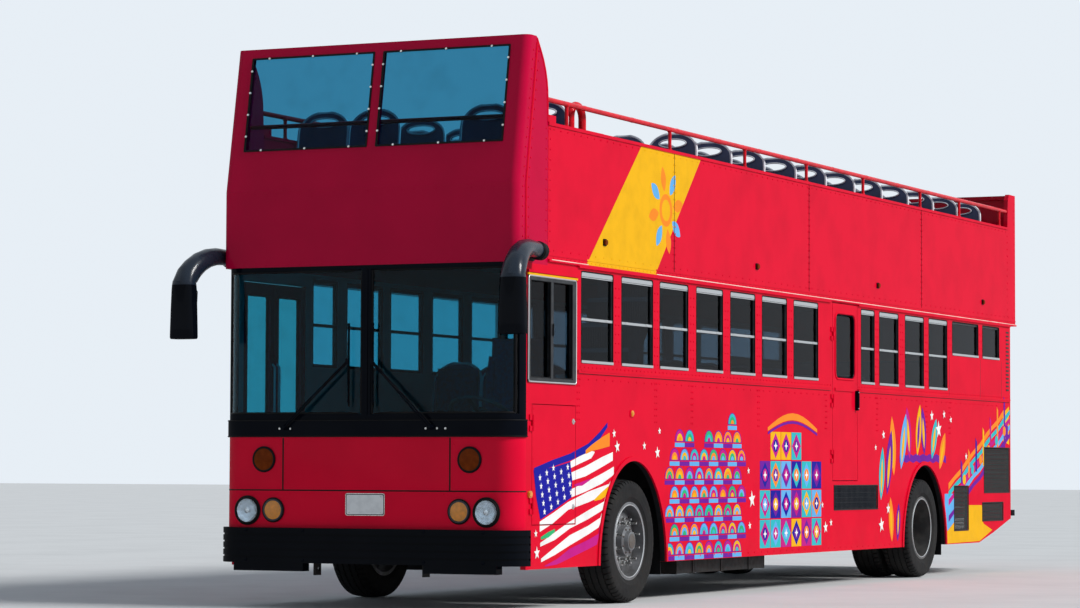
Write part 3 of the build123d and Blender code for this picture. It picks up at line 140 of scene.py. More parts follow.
class Board:
    """The node tree of a material or of the sky, with short ways to add and feed nodes."""

    def __init__(self, owner: bpy.types.Material | bpy.types.World) -> None:
        """Turns on the nodes of their owner."""
        owner.use_nodes = True
        self.owner, self.tree = owner, owner.node_tree

    @cached_property
    def place(self) -> Socket:
        """The place of each point on its object."""
        return self.node("TexCoord").outputs["Object"]

    def feed(self, entry: Socket, value: object) -> None:
        """Joins a socket to an input, or sets the input to a number, a vector or a colour."""
        if isinstance(value, Socket):
            self.tree.links.new(value, entry)
        elif value is not None:
            entry.default_value = (*value, 1.0) if entry.type == "RGBA" else value

    def node(self, kind: str, inputs: dict | None = None, **settings: object) -> bpy.types.Node:
        """Adds one node, sets its properties and feeds its inputs."""
        made = self.tree.nodes.new("ShaderNode" + kind)
        for key, value in settings.items():
            setattr(made, key, value)
        for key, value in (inputs or {}).items():
            self.feed(made.inputs[key], value)
        return made

    def shade(self, inputs: dict) -> bpy.types.Material:
        """Feeds the surface's shader and gives the finished material."""
        for key, value in inputs.items():
            self.feed(self.tree.nodes["Principled BSDF"].inputs[key], value)
        return self.owner

    def noise(self, scale: float, detail: float = 3.0, stretch: tuple = (1, 1, 1)) -> Socket:
        """A noise value over the object's own place, in cells a metre, each axis stretched first."""
        mapped = self.node("Mapping", {"Vector": self.place, "Scale": stretch}).outputs[0]
        return self.node("TexNoise", {"Vector": mapped, "Scale": scale, "Detail": detail}).outputs[0]

    def spread(self, value: Socket, low: float, high: float, start: float = 0.0, end: float = 1.0) -> Socket:
        """Maps a value from low..high to start..end, clamped."""
        return self.node("MapRange", {"Value": value, "From Min": low, "From Max": high, "To Min": start,
            "To Max": end}).outputs[0]

    def maths(self, operation: str, first: Socket, second: object = 0.5) -> Socket:
        """One Math node on a socket and a second socket or number."""
        return self.node("Math", {0: first, 1: second}, operation=operation).outputs[0]

    def blend(self, factor: Socket, first: object, second: object) -> Socket:
        """Mixes two colours, each a socket or a plain colour, by a factor."""
        return self.node("Mix", {0: factor, 6: first, 7: second}, data_type="RGBA").outputs[2]

    def axis(self, name: str) -> Socket:
        """One axis of the object's own place."""
        return self.node("SeparateXYZ", {0: self.place}).outputs[name]

    def bump(self, height: Socket, depth: float, under: Socket | None = None) -> Socket:
        """A bump of the given depth in metres, over another normal if there is one."""
        return self.node("Bump", {"Strength": 1.0, "Distance": depth, "Height": height, "Normal": under}).outputs[0]


COAT_ROUGH = 0.06
LINING_X = INNER + 0.003


@dataclass(frozen=True)
class Finish:
    """A solid finish: its colour with mottling, its gloss, its grain and the road film on it."""

    name: str
    colour: Colour
    second: Colour | None = None
    mottle: float = 0.3
    mottle_scale: float = 2.5
    rough: float = 0.4
    swing: float = 0.08
    metal: float = 0.0
    coat: float = 0.0
    specular: float = 0.5
    grain: Grain = Grain.PEEL
    grain_scale: float = 500.0
    grain_depth: float = 0.0001
    panel_wave: float = 0.0
    film: float = 0.0
    film_rough: float = 0.4
    film_top: float = 1.0
    film_colour: Colour = (0.33, 0.29, 0.25)
    lining: Colour | None = None

    @cache
    def material(self) -> bpy.types.Material:
        """Lays out colour, gloss and relief, once for each finish.

        Returns:
            The material.
        """
        board = Board(bpy.data.materials.new(self.name))
        second = self.second or tuple(c * (1 - self.mottle) for c in self.colour)
        broad = board.noise(self.mottle_scale, 5.0)
        colour = board.blend(board.spread(broad, 0.42, 0.72), self.colour, second)
        if self.lining is not None:
            across = board.maths("ABSOLUTE", board.axis("X"))
            inside = board.maths("LESS_THAN", across, LINING_X)
            colour = board.blend(inside, colour, self.lining)
        rough = board.spread(board.noise(self.mottle_scale * 4, 4.0), 0.3, 0.7, max(0.02, self.rough - self.swing),
            self.rough + self.swing)
        if self.film > 0:
            fade = board.spread(board.axis("Z"), 0.15, self.film_top, self.film, 0.0)
            patches = board.spread(board.noise(9.0, 6.0), 0.25, 0.75)
            share = board.maths("MULTIPLY", fade, patches)
            colour = board.blend(share, colour, self.film_colour)
            rough = board.maths("ADD", rough, board.maths("MULTIPLY", share, self.film_rough))
        wave = board.bump(board.noise(1.6, 1.0, (1, 1, 1.5)), self.panel_wave) if self.panel_wave > 0 else None
        return board.shade({"Base Color": colour, "Roughness": rough, "Metallic": self.metal,
            "Coat Weight": self.coat, "Coat Roughness": COAT_ROUGH, "Specular IOR Level": self.specular,
            "Normal": board.bump(self.relief(board), self.grain_depth, wave)})

    def relief(self, board: Board) -> Socket:
        """Height of the fine grain, added to the board."""
        if self.grain is Grain.DRAWN:
            return board.noise(self.grain_scale, 2.0, (1, 0.02, 1))
        if self.grain is Grain.WEAVE:
            across = board.maths("SINE", board.maths("MULTIPLY", board.axis("X"), self.grain_scale))
            along = board.maths("ADD", board.axis("Y"), board.axis("Z"))
            down = board.maths("SINE", board.maths("MULTIPLY", along, self.grain_scale))
            return board.maths("MULTIPLY", across, down)
        if self.grain is Grain.RIBBED:
            return board.maths("SINE", board.maths("MULTIPLY", board.axis("X"), self.grain_scale))
        if self.grain is Grain.STIPPLE:
            return board.node("TexVoronoi", {"Scale": self.grain_scale, "Vector": board.place}).outputs["Distance"]
        return board.noise(self.grain_scale, 5.0 if self.grain is Grain.CAST else 1.0)


@dataclass(frozen=True)
class Glazing:
    """Clear or tinted glass with a little dust on it."""

    name: str
    tint: Colour
    rough: float = 0.03
    dust: float = 0.12
    index: float = 1.45
    wave: float = 0.0006
    kerb: Colour | None = None

    @cache
    def material(self) -> bpy.types.Material:
        """The glass as a material, made once."""
        board = Board(bpy.data.materials.new(self.name))
        smear = board.spread(board.noise(6.0, 6.0), 0.5, 0.85)
        dusty = tuple(c * (1 - self.dust) for c in self.tint)
        colour = board.blend(smear, self.tint, dusty)
        if self.kerb is not None:
            colour = board.blend(board.maths("LESS_THAN", board.axis("X"), 0.0), colour, self.kerb)
        return board.shade({"Base Color": colour, "Roughness": board.spread(smear, 0.0, 1.0, self.rough,
            self.rough + 0.03), "Transmission Weight": 1.0, "IOR": self.index,
            "Normal": board.bump(board.noise(1.2, 1.0), self.wave)})


@dataclass(frozen=True)
class LensPlastic:
    """A moulded lamp lens with fine prisms inside."""

    name: str
    colour: Colour
    clear: float = 0.45
    prisms: float = 420.0
    depth: float = 0.0005
    coat: float = 0.4
    specular: float = 0.5

    @cache
    def material(self) -> bpy.types.Material:
        """The lens as a material, made once."""
        board = Board(bpy.data.materials.new(self.name))
        deep = tuple(c * 0.7 for c in self.colour)
        rows, lines = (board.maths("SINE", board.maths("MULTIPLY", board.axis(name), self.prisms)) for name in "XZ")
        return board.shade({"Base Color": board.blend(board.spread(board.noise(30.0), 0.3, 0.7), self.colour, deep),
            "Roughness": board.spread(board.noise(60.0), 0.3, 0.7, 0.08, 0.18), "Transmission Weight": self.clear,
            "Specular IOR Level": self.specular, "Coat Weight": self.coat,
            "Normal": board.bump(board.maths("MULTIPLY", rows, lines), self.depth)})


SPRAYED = {"mottle": 0.1, "specular": 0.0, "grain_scale": 900, "grain_depth": 0.00004}
SKIRT = {"film": 0.1, "film_top": 0.7, "film_colour": (0.28, 0.1, 0.07)}
FRESH = {"rough": 0.2, "coat": 0.12}


class Paint:
    """Every finish of the bus, by its use."""

    SIDE = Finish("side_red", (0.68, 0.003, 0.026), **SPRAYED, **SKIRT, rough=0.24, coat=0.1, panel_wave=0.004,
        lining=(0.42, 0.41, 0.39))
    REAR = Finish("rear_red", (0.68, 0.003, 0.026), **SPRAYED, **SKIRT, rough=0.24, coat=0.1, panel_wave=0.003)
    UPPER = Finish("upper_red", (0.68, 0.003, 0.028), **(SPRAYED | {"mottle": 0.12}), **FRESH, panel_wave=0.008)
    FRONT = Finish("front_red", (0.76, 0.002, 0.032), **SPRAYED, **FRESH, panel_wave=0.002)
    # Painted shade: the sides' red, made darker and bluer to stand for the shade on the upper front.
    UPPER_FRONT = Finish("upper_front_red", (0.52, 0.002, 0.042), **SPRAYED, **FRESH, panel_wave=0.002)
    RAIL = Finish("rail_red", (0.66, 0.004, 0.016), mottle=0.3, mottle_scale=12, rough=0.32, coat=0.2, specular=0.05,
        grain_scale=700, grain_depth=0.00005)
    BLACK = Finish("black_plastic", (0.0015, 0.0025, 0.005), (0.003, 0.004, 0.007), rough=0.4, specular=0.0,
        coat=0.12, grain=Grain.STIPPLE, grain_scale=900, grain_depth=0.00012)
    GLOSS_BLACK = Finish("gloss_black", (0.0015, 0.0025, 0.006), (0.003, 0.0045, 0.008), rough=0.16, specular=0.0,
        coat=0.08, grain_scale=600, grain_depth=0.00004)
    RUBBER = Finish("seal_rubber", (0.004, 0.004, 0.005), (0.008, 0.008, 0.009), rough=0.6, specular=0.1,
        grain=Grain.STIPPLE, grain_scale=1200, grain_depth=0.0001)
    SLATE = Finish("mirror_arm_slate", (0.012, 0.02, 0.034), (0.008, 0.014, 0.026), mottle_scale=14, rough=0.3,
        coat=0.2, specular=0.12, grain_scale=600, grain_depth=0.00005)
    # Painted highlight: a pale pink-white colour that stands for light caught on the drip ledge's top edge.
    EDGE = Finish("worn_edge", (0.82, 0.62, 0.55), (0.8, 0.35, 0.3), mottle_scale=6, rough=0.35, grain_scale=600,
        grain_depth=0.00005)
    DARK_SASH = Finish("dark_sash", (0.012, 0.013, 0.016), (0.03, 0.031, 0.034), mottle_scale=14, rough=0.4,
        specular=0.2, grain=Grain.DRAWN, grain_scale=900, grain_depth=0.00008)
    # Painted shade: the grey of the rear dishes is darkened to stand for the shade deep inside the twin wheels.
    DISH = Finish("rear_dish", (0.07, 0.07, 0.072), (0.14, 0.135, 0.13), mottle_scale=9, rough=0.4, metal=0.4,
        grain=Grain.CAST, grain_scale=300, grain_depth=0.00015, film=0.35, film_top=0.95,
        film_colour=(0.08, 0.07, 0.06))
    TYRE = Finish("tyre_rubber", (0.007, 0.007, 0.008), (0.014, 0.0135, 0.013), mottle_scale=7, rough=0.72,
        specular=0.15, grain=Grain.CAST, grain_scale=240, grain_depth=0.0003, film=0.25, film_top=0.98,
        film_colour=(0.05, 0.046, 0.042))
    # Painted shade: the silver of the front rims is darkened to stand for the shade inside the wheels.
    RIM = Finish("rim_silver", (0.2, 0.207, 0.22), (0.12, 0.12, 0.122), mottle_scale=9, rough=0.36, metal=0.6,
        grain=Grain.CAST, grain_scale=300, grain_depth=0.00015, film=0.5, film_top=0.95,
        film_colour=(0.09, 0.075, 0.065))
    STEEL = Finish("bright_steel", (0.62, 0.62, 0.61), (0.45, 0.44, 0.42), mottle_scale=40, rough=0.28, metal=1.0,
        grain=Grain.CAST, grain_scale=400, grain_depth=0.00008)
    CHROME = Finish("chrome", (0.78, 0.78, 0.79), (0.7, 0.7, 0.71), mottle_scale=20, rough=0.09, swing=0.04,
        metal=1.0, grain_scale=300, grain_depth=0.00002)
    ALUMINIUM = Finish("bright_aluminium", (0.549, 0.561, 0.569), mottle=0.0, rough=0.4, swing=0.0, metal=0.9,
        grain=Grain.DRAWN, grain_scale=900, grain_depth=0.00001)
    CHASSIS = Finish("chassis_black", (0.008, 0.008, 0.009), (0.018, 0.016, 0.014), mottle_scale=5, rough=0.6,
        specular=0.2, grain=Grain.CAST, grain_scale=160, grain_depth=0.0004, film=0.25, film_top=1.1,
        film_colour=(0.05, 0.042, 0.036))
    FORGED = Finish("forged_iron", (0.11, 0.1, 0.095), (0.07, 0.05, 0.04), mottle_scale=18, rough=0.55, metal=0.6,
        grain=Grain.CAST, grain_scale=200, grain_depth=0.0005, film=0.4)
    BLOCK = Finish("engine_enamel", (0.14, 0.145, 0.15), (0.08, 0.075, 0.07), mottle_scale=6, rough=0.5,
        grain=Grain.CAST, grain_scale=150, grain_depth=0.0005, film=0.4, film_top=1.2)
    DECK = Finish("deck_sheet", (0.16, 0.165, 0.17), (0.24, 0.24, 0.24), mottle_scale=90, rough=0.65,
        grain=Grain.RIBBED, grain_scale=420, grain_depth=0.0012)
    SHELL = Finish("seat_shell_blue", (0.03, 0.042, 0.11), (0.045, 0.055, 0.14), mottle_scale=10, rough=0.4,
        specular=0.3, grain=Grain.STIPPLE, grain_scale=800, grain_depth=0.00015)
    SHELL_RIM = Finish("seat_rim_grey", (0.72, 0.74, 0.8), (0.6, 0.62, 0.68), mottle_scale=14, rough=0.4,
        grain=Grain.STIPPLE, grain_scale=800, grain_depth=0.0001)
    CLOTH = Finish("seat_cloth", (0.055, 0.07, 0.16), (0.22, 0.04, 0.06), mottle_scale=42, rough=0.9, swing=0.05,
        specular=0.2, grain=Grain.WEAVE, grain_scale=2400, grain_depth=0.0006)
    PIPING = Finish("seat_piping", (0.02, 0.02, 0.025), rough=0.6, grain=Grain.STIPPLE, grain_scale=900)
    DASH = Finish("dash_grain", (0.03, 0.031, 0.033), (0.045, 0.045, 0.047), mottle_scale=20, rough=0.55,
        grain=Grain.STIPPLE, grain_scale=500, grain_depth=0.0003)
    # Dark mesh; also laid as painted shade in the rub groove under the windows.
    DARK_IN = Finish("mesh_dark", (0.007, 0.008, 0.01), (0.014, 0.014, 0.016), mottle_scale=20, rough=0.5,
        specular=0.2, grain=Grain.CAST, grain_scale=260, grain_depth=0.0003)
    FIN = Finish("grille_fin", (0.022, 0.028, 0.04), (0.04, 0.046, 0.058), mottle_scale=6, rough=0.4, specular=0.3,
        grain=Grain.CAST, grain_scale=260, grain_depth=0.0003)
    PLATE = Finish("plate_white", (0.78, 0.79, 0.8), (0.66, 0.67, 0.68), mottle_scale=16, rough=0.4,
        grain_depth=0.00005)


class Glass:
    """The panes of the bus, by their place."""

    WINDSHIELD = Glazing("windshield_tint", (0.05, 0.4, 0.55), index=1.2)
    SIDE = Glazing("side_tint", (0.1, 0.12, 0.16), index=1.1, kerb=(0.3, 0.52, 0.6))
    SCREEN = Glazing("screen_tint", (0.035, 0.22, 0.36), dust=0.15, index=1.15)
    DOOR = Glazing("door_tint", (0.25, 0.55, 0.58), index=1.25)


class Lens:
    """The lamp lenses of the bus."""

    CLEAR = LensPlastic("lens_clear", (0.8, 0.9, 0.98), clear=0.95, prisms=160)
    AMBER = LensPlastic("lens_amber", (1.0, 0.36, 0.012), clear=0.25, coat=0.2)
    DEEP_AMBER = LensPlastic("lens_deep_amber", (0.2, 0.035, 0.004), clear=0.0, coat=0.06, specular=0.0)
    RED = LensPlastic("lens_red", (0.6, 0.008, 0.01))


class Ink(Enum):
    """Colours of the cut film on the sides."""

    WHITE = (0.82, 0.81, 0.8)
    YELLOW = (0.8, 0.42, 0.008)
    ORANGE = (0.86, 0.24, 0.02)
    MAGENTA = (0.5, 0.01, 0.22)
    PURPLE = (0.15, 0.012, 0.3)
    BLUE = (0.012, 0.012, 0.3)
    SKY = (0.12, 0.4, 0.75)
    TURQUOISE = (0.03, 0.45, 0.5)
    GREEN = (0.03, 0.42, 0.16)

    def finish(self) -> Finish:
        """The film of this ink."""
        return Finish("film_" + self.name.lower(), self.value, mottle=0.1, mottle_scale=7, rough=0.34, coat=0.1,
            specular=0.0, grain_scale=800, grain_depth=0.00004, film=0.06, film_top=0.7)


WELD = 0.00002
BEVEL_ANGLE = 40
SINK = 0.002


@dataclass
class Shape:
    """Points and faces gathered for one piece."""

    verts: list[Vector] = field(default_factory=list)
    faces: list[tuple[int, ...]] = field(default_factory=list)
    marks: list[int] = field(default_factory=list)

    def skin(self, rows: list, around: bool = False, closed: bool = False, caps: bool = False, mark: int = 0) -> None:
        """Skins a grid of points.

        Args:
            rows: equal rows of points.
            around: whether the last row joins the first.
            closed: whether each row is a loop.
            caps: whether the first and last rows are filled.
            mark: which of the piece's finishes it takes.
        """
        start, many, wide = len(self.verts), len(rows), len(rows[0])
        for row in rows:
            self.verts.extend(Vector(p) for p in row)
        for i in range(many if around else many - 1):
            for j in range(wide if closed else wide - 1):
                k, n = (i + 1) % many, (j + 1) % wide
                self.faces.append((start + i * wide + j, start + i * wide + n, start + k * wide + n,
                    start + k * wide + j))
                self.marks.append(mark)
        if caps:
            for i in (0, many - 1):
                self.faces.append(tuple(start + i * wide + j for j in range(wide)))
                self.marks.append(mark)

    def box(self, low: tuple, high: tuple, mark: int = 0) -> None:
        """A box between two corners."""
        (x0, y0, z0), (x1, y1, z1) = low, high
        self.skin([[(x, y, z) for x, y in oblong(x0, x1, y0, y1)] for z in (z0, z1)], closed=True, caps=True,
            mark=mark)

    def slab(self, outline: list[Flat], side: int, low: float, high: float, mark: int = 0,
            wall: float = HALF_W) -> None:
        """A flat piece on a side wall: an outline of (station, height), from low to high out of the wall."""
        self.skin([[(side * (wall + d), at(s), z) for s, z in outline] for d in (low, high)], closed=True, caps=True,
            mark=mark)

    def rod(self, path: list, radius: float, sides: int = 10, closed: bool = False, mark: int = 0,
            flat: float = 1.0) -> None:
        """A round or oval bar along a path.

        Args:
            path: points of the centreline.
            radius: radius of the bar.
            sides: facets around it.
            closed: whether the path is a loop.
            mark: which finish it takes.
            flat: height of the section as a share of its width.
        """
        points = [Vector(p) for p in path]
        count = len(points)
        rows, normal = [], None
        for i, p in enumerate(points):
            ahead = points[(i + 1) % count] if closed or i < count - 1 else p
            back = points[i - 1] if closed or i > 0 else p
            along = (ahead - back).normalized()
            if normal is None:
                normal = along.cross(Vector(UP) if abs(along.z) < 0.9 else Vector((1, 0, 0))).normalized()
            normal = (normal - along * normal.dot(along)).normalized()
            other = along.cross(normal)
            rows.append([p + normal * radius * cos(t) + other * radius * flat * sin(t) for t in turns(sides)])
        self.skin(rows, around=closed, closed=True, caps=not closed, mark=mark)

    def lathe(self, profile: list[Flat], centre: tuple, axis: tuple, steps: int = 32, mark: int = 0,
            loop: bool = False) -> None:
        """Turns a profile round an axis.

        Args:
            profile: (distance along the axis, radius) pairs.
            centre: the axis's origin.
            axis: its direction.
            steps: facets around it.
            mark: which finish it takes.
            loop: whether the profile closes on itself; otherwise its ends lie on the axis.
        """
        origin, along = Vector(centre), Vector(axis).normalized()
        first = along.cross(Vector(UP) if abs(along.z) < 0.9 else Vector((1, 0, 0))).normalized()
        second = along.cross(first)
        rows = []
        for t in turns(steps):
            out = first * cos(t) + second * sin(t)
            rows.append([origin + along * a + out * r for a, r in profile])
        self.skin(rows, around=True, closed=loop, mark=mark)

    def seal(self, box: tuple, sign: int, out: float, radius: float, corner: float = 0.025, steps: int = 3,
            sides: int = 6, mark: int = 0) -> None:
        """A bead round a (front, rear, bottom, top) box, its centre so far out of a side wall."""
        path = [(sign * (HALF_W + out), at(s), z) for s, z in rounded(box, corner, steps)]
        self.rod(path, radius, sides, closed=True, mark=mark)

    def frame(self, outer: list[Flat], inner: list[Flat], low: float, high: float, place: Callable,
            mark: int = 0) -> None:
        """A flat frame between two outlines and two depths; place gives the point of (u, v, depth)."""
        loops = (outer, low), (outer, high), (inner, high), (inner, low)
        self.skin([[place(u, v, depth) for u, v in loop] for loop, depth in loops], around=True, closed=True,
            mark=mark)

    def nut(self, centre: Vector, axis: Vector, radius: float, height: float, mark: int = 0) -> None:
        """A six-sided nut on a washer with its stud."""
        foot = centre - axis * SINK
        self.lathe([(0, 0), (0, radius * 1.35), (height * 0.18, radius * 1.3), (height * 0.2, 0)], foot, axis, 16,
            mark)
        self.lathe([(height * 0.18, 0), (height * 0.18, radius), (height * 0.86, radius), (height, radius * 0.82),
            (height, 0)], foot, axis, 6, mark)
        self.lathe([(height * 0.9, 0), (height * 0.9, radius * 0.5), (height * 1.3, radius * 0.46),
            (height * 1.36, 0)], foot, axis, 10, mark)

    def rivet(self, centre: tuple, axis: tuple, radius: float = 0.008, mark: int = 0) -> None:
        """A domed rivet head."""
        self.lathe([(-0.001, 0), (-0.001, radius), (radius * 0.45, radius * 0.82), (radius * 0.75, 0)], centre, axis,
            7, mark)

    def piece(self, name: str, finishes: list, body: str, slot: str = "", bevel: float = 0.0, crease: float = 35.0,
            sheet: float = 0.0) -> Piece:
        """Makes the object, welds it, dresses it and lets it ride on its body.

        Args:
            name: the piece's name.
            finishes: its finishes, in the order of the marks.
            body: the body that it rides on.
            slot: not used.
            bevel: width of rounded edges.
            crease: edges sharper than this many degrees stay sharp.
            sheet: thickness given to an open sheet, inward.

        Returns:
            The new object.
        """
        mesh = bpy.data.meshes.new(name)
        mesh.from_pydata([tuple(v) for v in self.verts], [], self.faces)
        for polygon, mark in zip(mesh.polygons, self.marks):
            polygon.material_index = mark
            polygon.use_smooth = True
        work = bmesh.new()
        work.from_mesh(mesh)
        bmesh.ops.remove_doubles(work, verts=work.verts, dist=WELD)
        bmesh.ops.dissolve_degenerate(work, edges=work.edges, dist=WELD / 2)
        loose = [v for v in work.verts if not v.link_faces]
        bmesh.ops.delete(work, geom=loose, context="VERTS")
        bmesh.ops.recalc_face_normals(work, faces=work.faces)
        work.to_mesh(mesh)
        work.free()
        if sheet:
            for polygon in mesh.polygons:
                polygon.use_smooth = False
        else:
            mesh.set_sharp_from_angle(angle=radians(crease))
        for finish in finishes:
            mesh.materials.append(finish.material())
        made = bpy.data.objects.new(name, mesh)
        bpy.context.scene.collection.objects.link(made)
        if sheet:
            thick = made.modifiers.new("film", "SOLIDIFY")
            thick.thickness = sheet
            thick.offset = -1
        if bevel:
            round_off = made.modifiers.new("round", "BEVEL")
            round_off.width = bevel
            round_off.segments = 2
            round_off.limit_method = "ANGLE"
            round_off.angle_limit = radians(BEVEL_ANGLE)
        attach(made, body)
        return made


def arc(centre: Flat, radius: float, start: float, end: float, steps: int) -> list[Flat]:
    """Points of an arc, angles in degrees."""
    turn = [radians(start + (end - start) * k / steps) for k in range(steps + 1)]
    return [(centre[0] + radius * cos(t), centre[1] + radius * sin(t)) for t in turn]


def grown(box: tuple, by: float) -> tuple:
    """A (front, rear, bottom, top) box with every edge moved out, or in if less than nought."""
    s0, s1, z0, z1 = box
    return s0 - by, s1 + by, z0 - by, z1 + by


def rounded(box: tuple, radius: float, steps: int = 4) -> list[Flat]:
    """Outline of a (left, right, bottom, top) box with rounded corners."""
    u0, u1, v0, v1 = grown(box, -radius)
    corners = (u1, v0, -90), (u1, v1, 0), (u0, v1, 90), (u0, v0, 180)
    return [point for u, v, turn in corners for point in arc((u, v), radius, turn, turn + 90, steps)]


def nose_path(inset: float, z: float) -> list[tuple]:
    """Points along the rounded nose at one height, inset from its outline, from right to left."""
    half, radius = HALF_W - inset, NOSE_R - inset
    corner = [(half - NOSE_R + inset + radius * sin(t), NOSE_R - radius * cos(t))
        for t in [radians(a) for a in range(0, 91, 10)]]
    flat = [((half - radius) * k / 6, inset) for k in range(-5, 6)]
    return [(x, at(s), z) for x, s in [(-x, s) for x, s in reversed(corner)] + flat + corner]


@dataclass
class PaintedBody:
    """The carried-over solids: each gets its material's finish; the upper front and the wheels' rims have painted
    shade.
    """

    finishes: tuple = ((Paint.CHASSIS,
        "chassis_frame front_axle rear_axle chassis_crossmembers tow_eyes floor_boxes fuel_tank"),
        (Paint.FORGED, "knuckle_left knuckle_right"), (Paint.TYRE,
        "front_tyre_left front_tyre_right rear_tyres_left rear_tyres_right"),
        (Paint.RIM, "front_rim_left front_rim_right"), (Paint.DISH, "rear_rims_left rear_rims_right"),
        (Paint.DECK, "lower_floor upper_floor stair"), (Paint.FRONT, "front_panel"),
        (Paint.SIDE, "side_wall_left side_wall_right emergency_door entry_door_front entry_door_rear battery_door"),
        (Paint.REAR, "rear_wall engine_door"), (Paint.UPPER, "upper_side_left upper_side_right upper_rear"),
        (Paint.UPPER_FRONT, "upper_front"), (Paint.RAIL, "handrails"), (Paint.GLOSS_BLACK, "windshield_frame"),
        (Glass.WINDSHIELD, "windshield_glass"), (Glass.SIDE, "window_glass emergency_glass"),
        (Glass.DOOR, "entry_glass_front entry_glass_rear"), (Glass.SCREEN, "upper_screens"),
        (Paint.DARK_SASH, "window_sashes"), (Paint.SHELL, "upper_seats upper_seat_backs"),
        (Paint.CLOTH, "lower_seats lower_seat_backs"), (Paint.DASH, "dashboard"), (Paint.BLACK, "bumpers wipers"),
        (Lens.CLEAR, "headlamps"), (Lens.AMBER, "amber_lamps"), (Lens.RED, "tail_lamps"), (Paint.SLATE, "mirrors"),
        (Paint.BLOCK, "engine"), (Paint.DARK_IN, "side_grilles"), (Paint.RUBBER, "mud_flaps"))
    crease: float = 32

    def dress(self) -> int:
        """Puts each solid's finish on it and shades its curves smooth.

        Returns:
            How many solids were dressed.
        """
        by_name = {name: finish for finish, names in self.finishes for name in names.split()}
        for name, solid in frame["nodes"].items():
            solid.data.materials.clear()
            solid.data.materials.append(by_name[name].material())
            if solid.data.has_custom_normals:
                with bpy.context.temp_override(object=solid, active_object=solid, selected_objects=[solid]):
                    bpy.ops.mesh.customdata_custom_splitnormals_clear()
            for polygon in solid.data.polygons:
                polygon.use_smooth = True
            solid.data.set_sharp_from_angle(angle=radians(self.crease))
        return len(frame["nodes"])


@dataclass
class TreadedTyre:
    """One tyre with grooved tread, cut shoulders and ringed walls."""

    centre_x: float
    station: float
    radius: float = 0.475
    bead: float = 0.286
    wall: tuple = ((0.1125, 0.0), (0.117, 0.014), (0.1275, 0.034), (0.133, 0.05), (0.1345, 0.052), (0.1365, 0.075),
        (0.1375, 0.1), (0.1365, 0.112), (0.1375, 0.116))
    shoulder: tuple = ((0.135, 0.05, 0.0), (0.1345, 0.036, 0.0), (0.129, 0.022, 0.7), (0.121, 0.012, 1.0))
    blocks: int = 56
    groove_depth: float = 0.013
    rib_edge: float = 0.081
    tread_half: float = 0.113
    grooves: tuple = (-0.079, -0.028, 0.028, 0.079)
    slices: tuple = ((0.0, False, 0.003), (0.36, False, -0.003), (0.72, False, 0.0), (0.76, True, 0.003),
        (0.96, True, 0.0))

    def section(self, cut: bool, zig: float) -> list[Flat]:
        """The closed section as (offset, radius) points.

        Args:
            cut: whether this slice falls in a gap between shoulder blocks.
            zig: sideways shift of the grooves.

        Returns:
            The same number of points for every slice.
        """
        drop = self.groove_depth if cut else 0.0
        wall = [(x, self.bead + rise) for x, rise in self.wall]
        wall += [(x, self.radius - down - drop * share) for x, down, share in self.shoulder]
        top = []
        for g in self.grooves:
            for offset, deep in ((-0.0055, 0), (-0.0038, 1), (0.0038, 1), (0.0055, 0)):
                x = g + offset + zig
                crown = self.radius - 0.008 * (x / 0.115) ** 2
                outer = abs(x) > self.rib_edge
                top.append((x, crown - (self.groove_depth if deep else drop if outer else 0)))
        edge = self.radius - 0.0085 - drop
        middle = [(-self.tread_half, edge), *top, (self.tread_half, edge)]
        return [(-x, r) for x, r in wall] + middle + wall[::-1]

    def build(self, shape: Shape, side: int) -> None:
        """Adds the tyre to a shape, side being the sign of X."""
        centre = Vector((side * self.centre_x, at(self.station), AXLE_Z))
        rows = []
        for block in range(self.blocks):
            for phase, cut, zig in self.slices:
                t = 2 * pi * (block + phase) / self.blocks
                out = Vector((0, cos(t), sin(t)))
                rows.append([centre + Vector((side * x, 0, 0)) + out * r for x, r in self.section(cut, zig)])
        shape.skin(rows, around=True, closed=True)


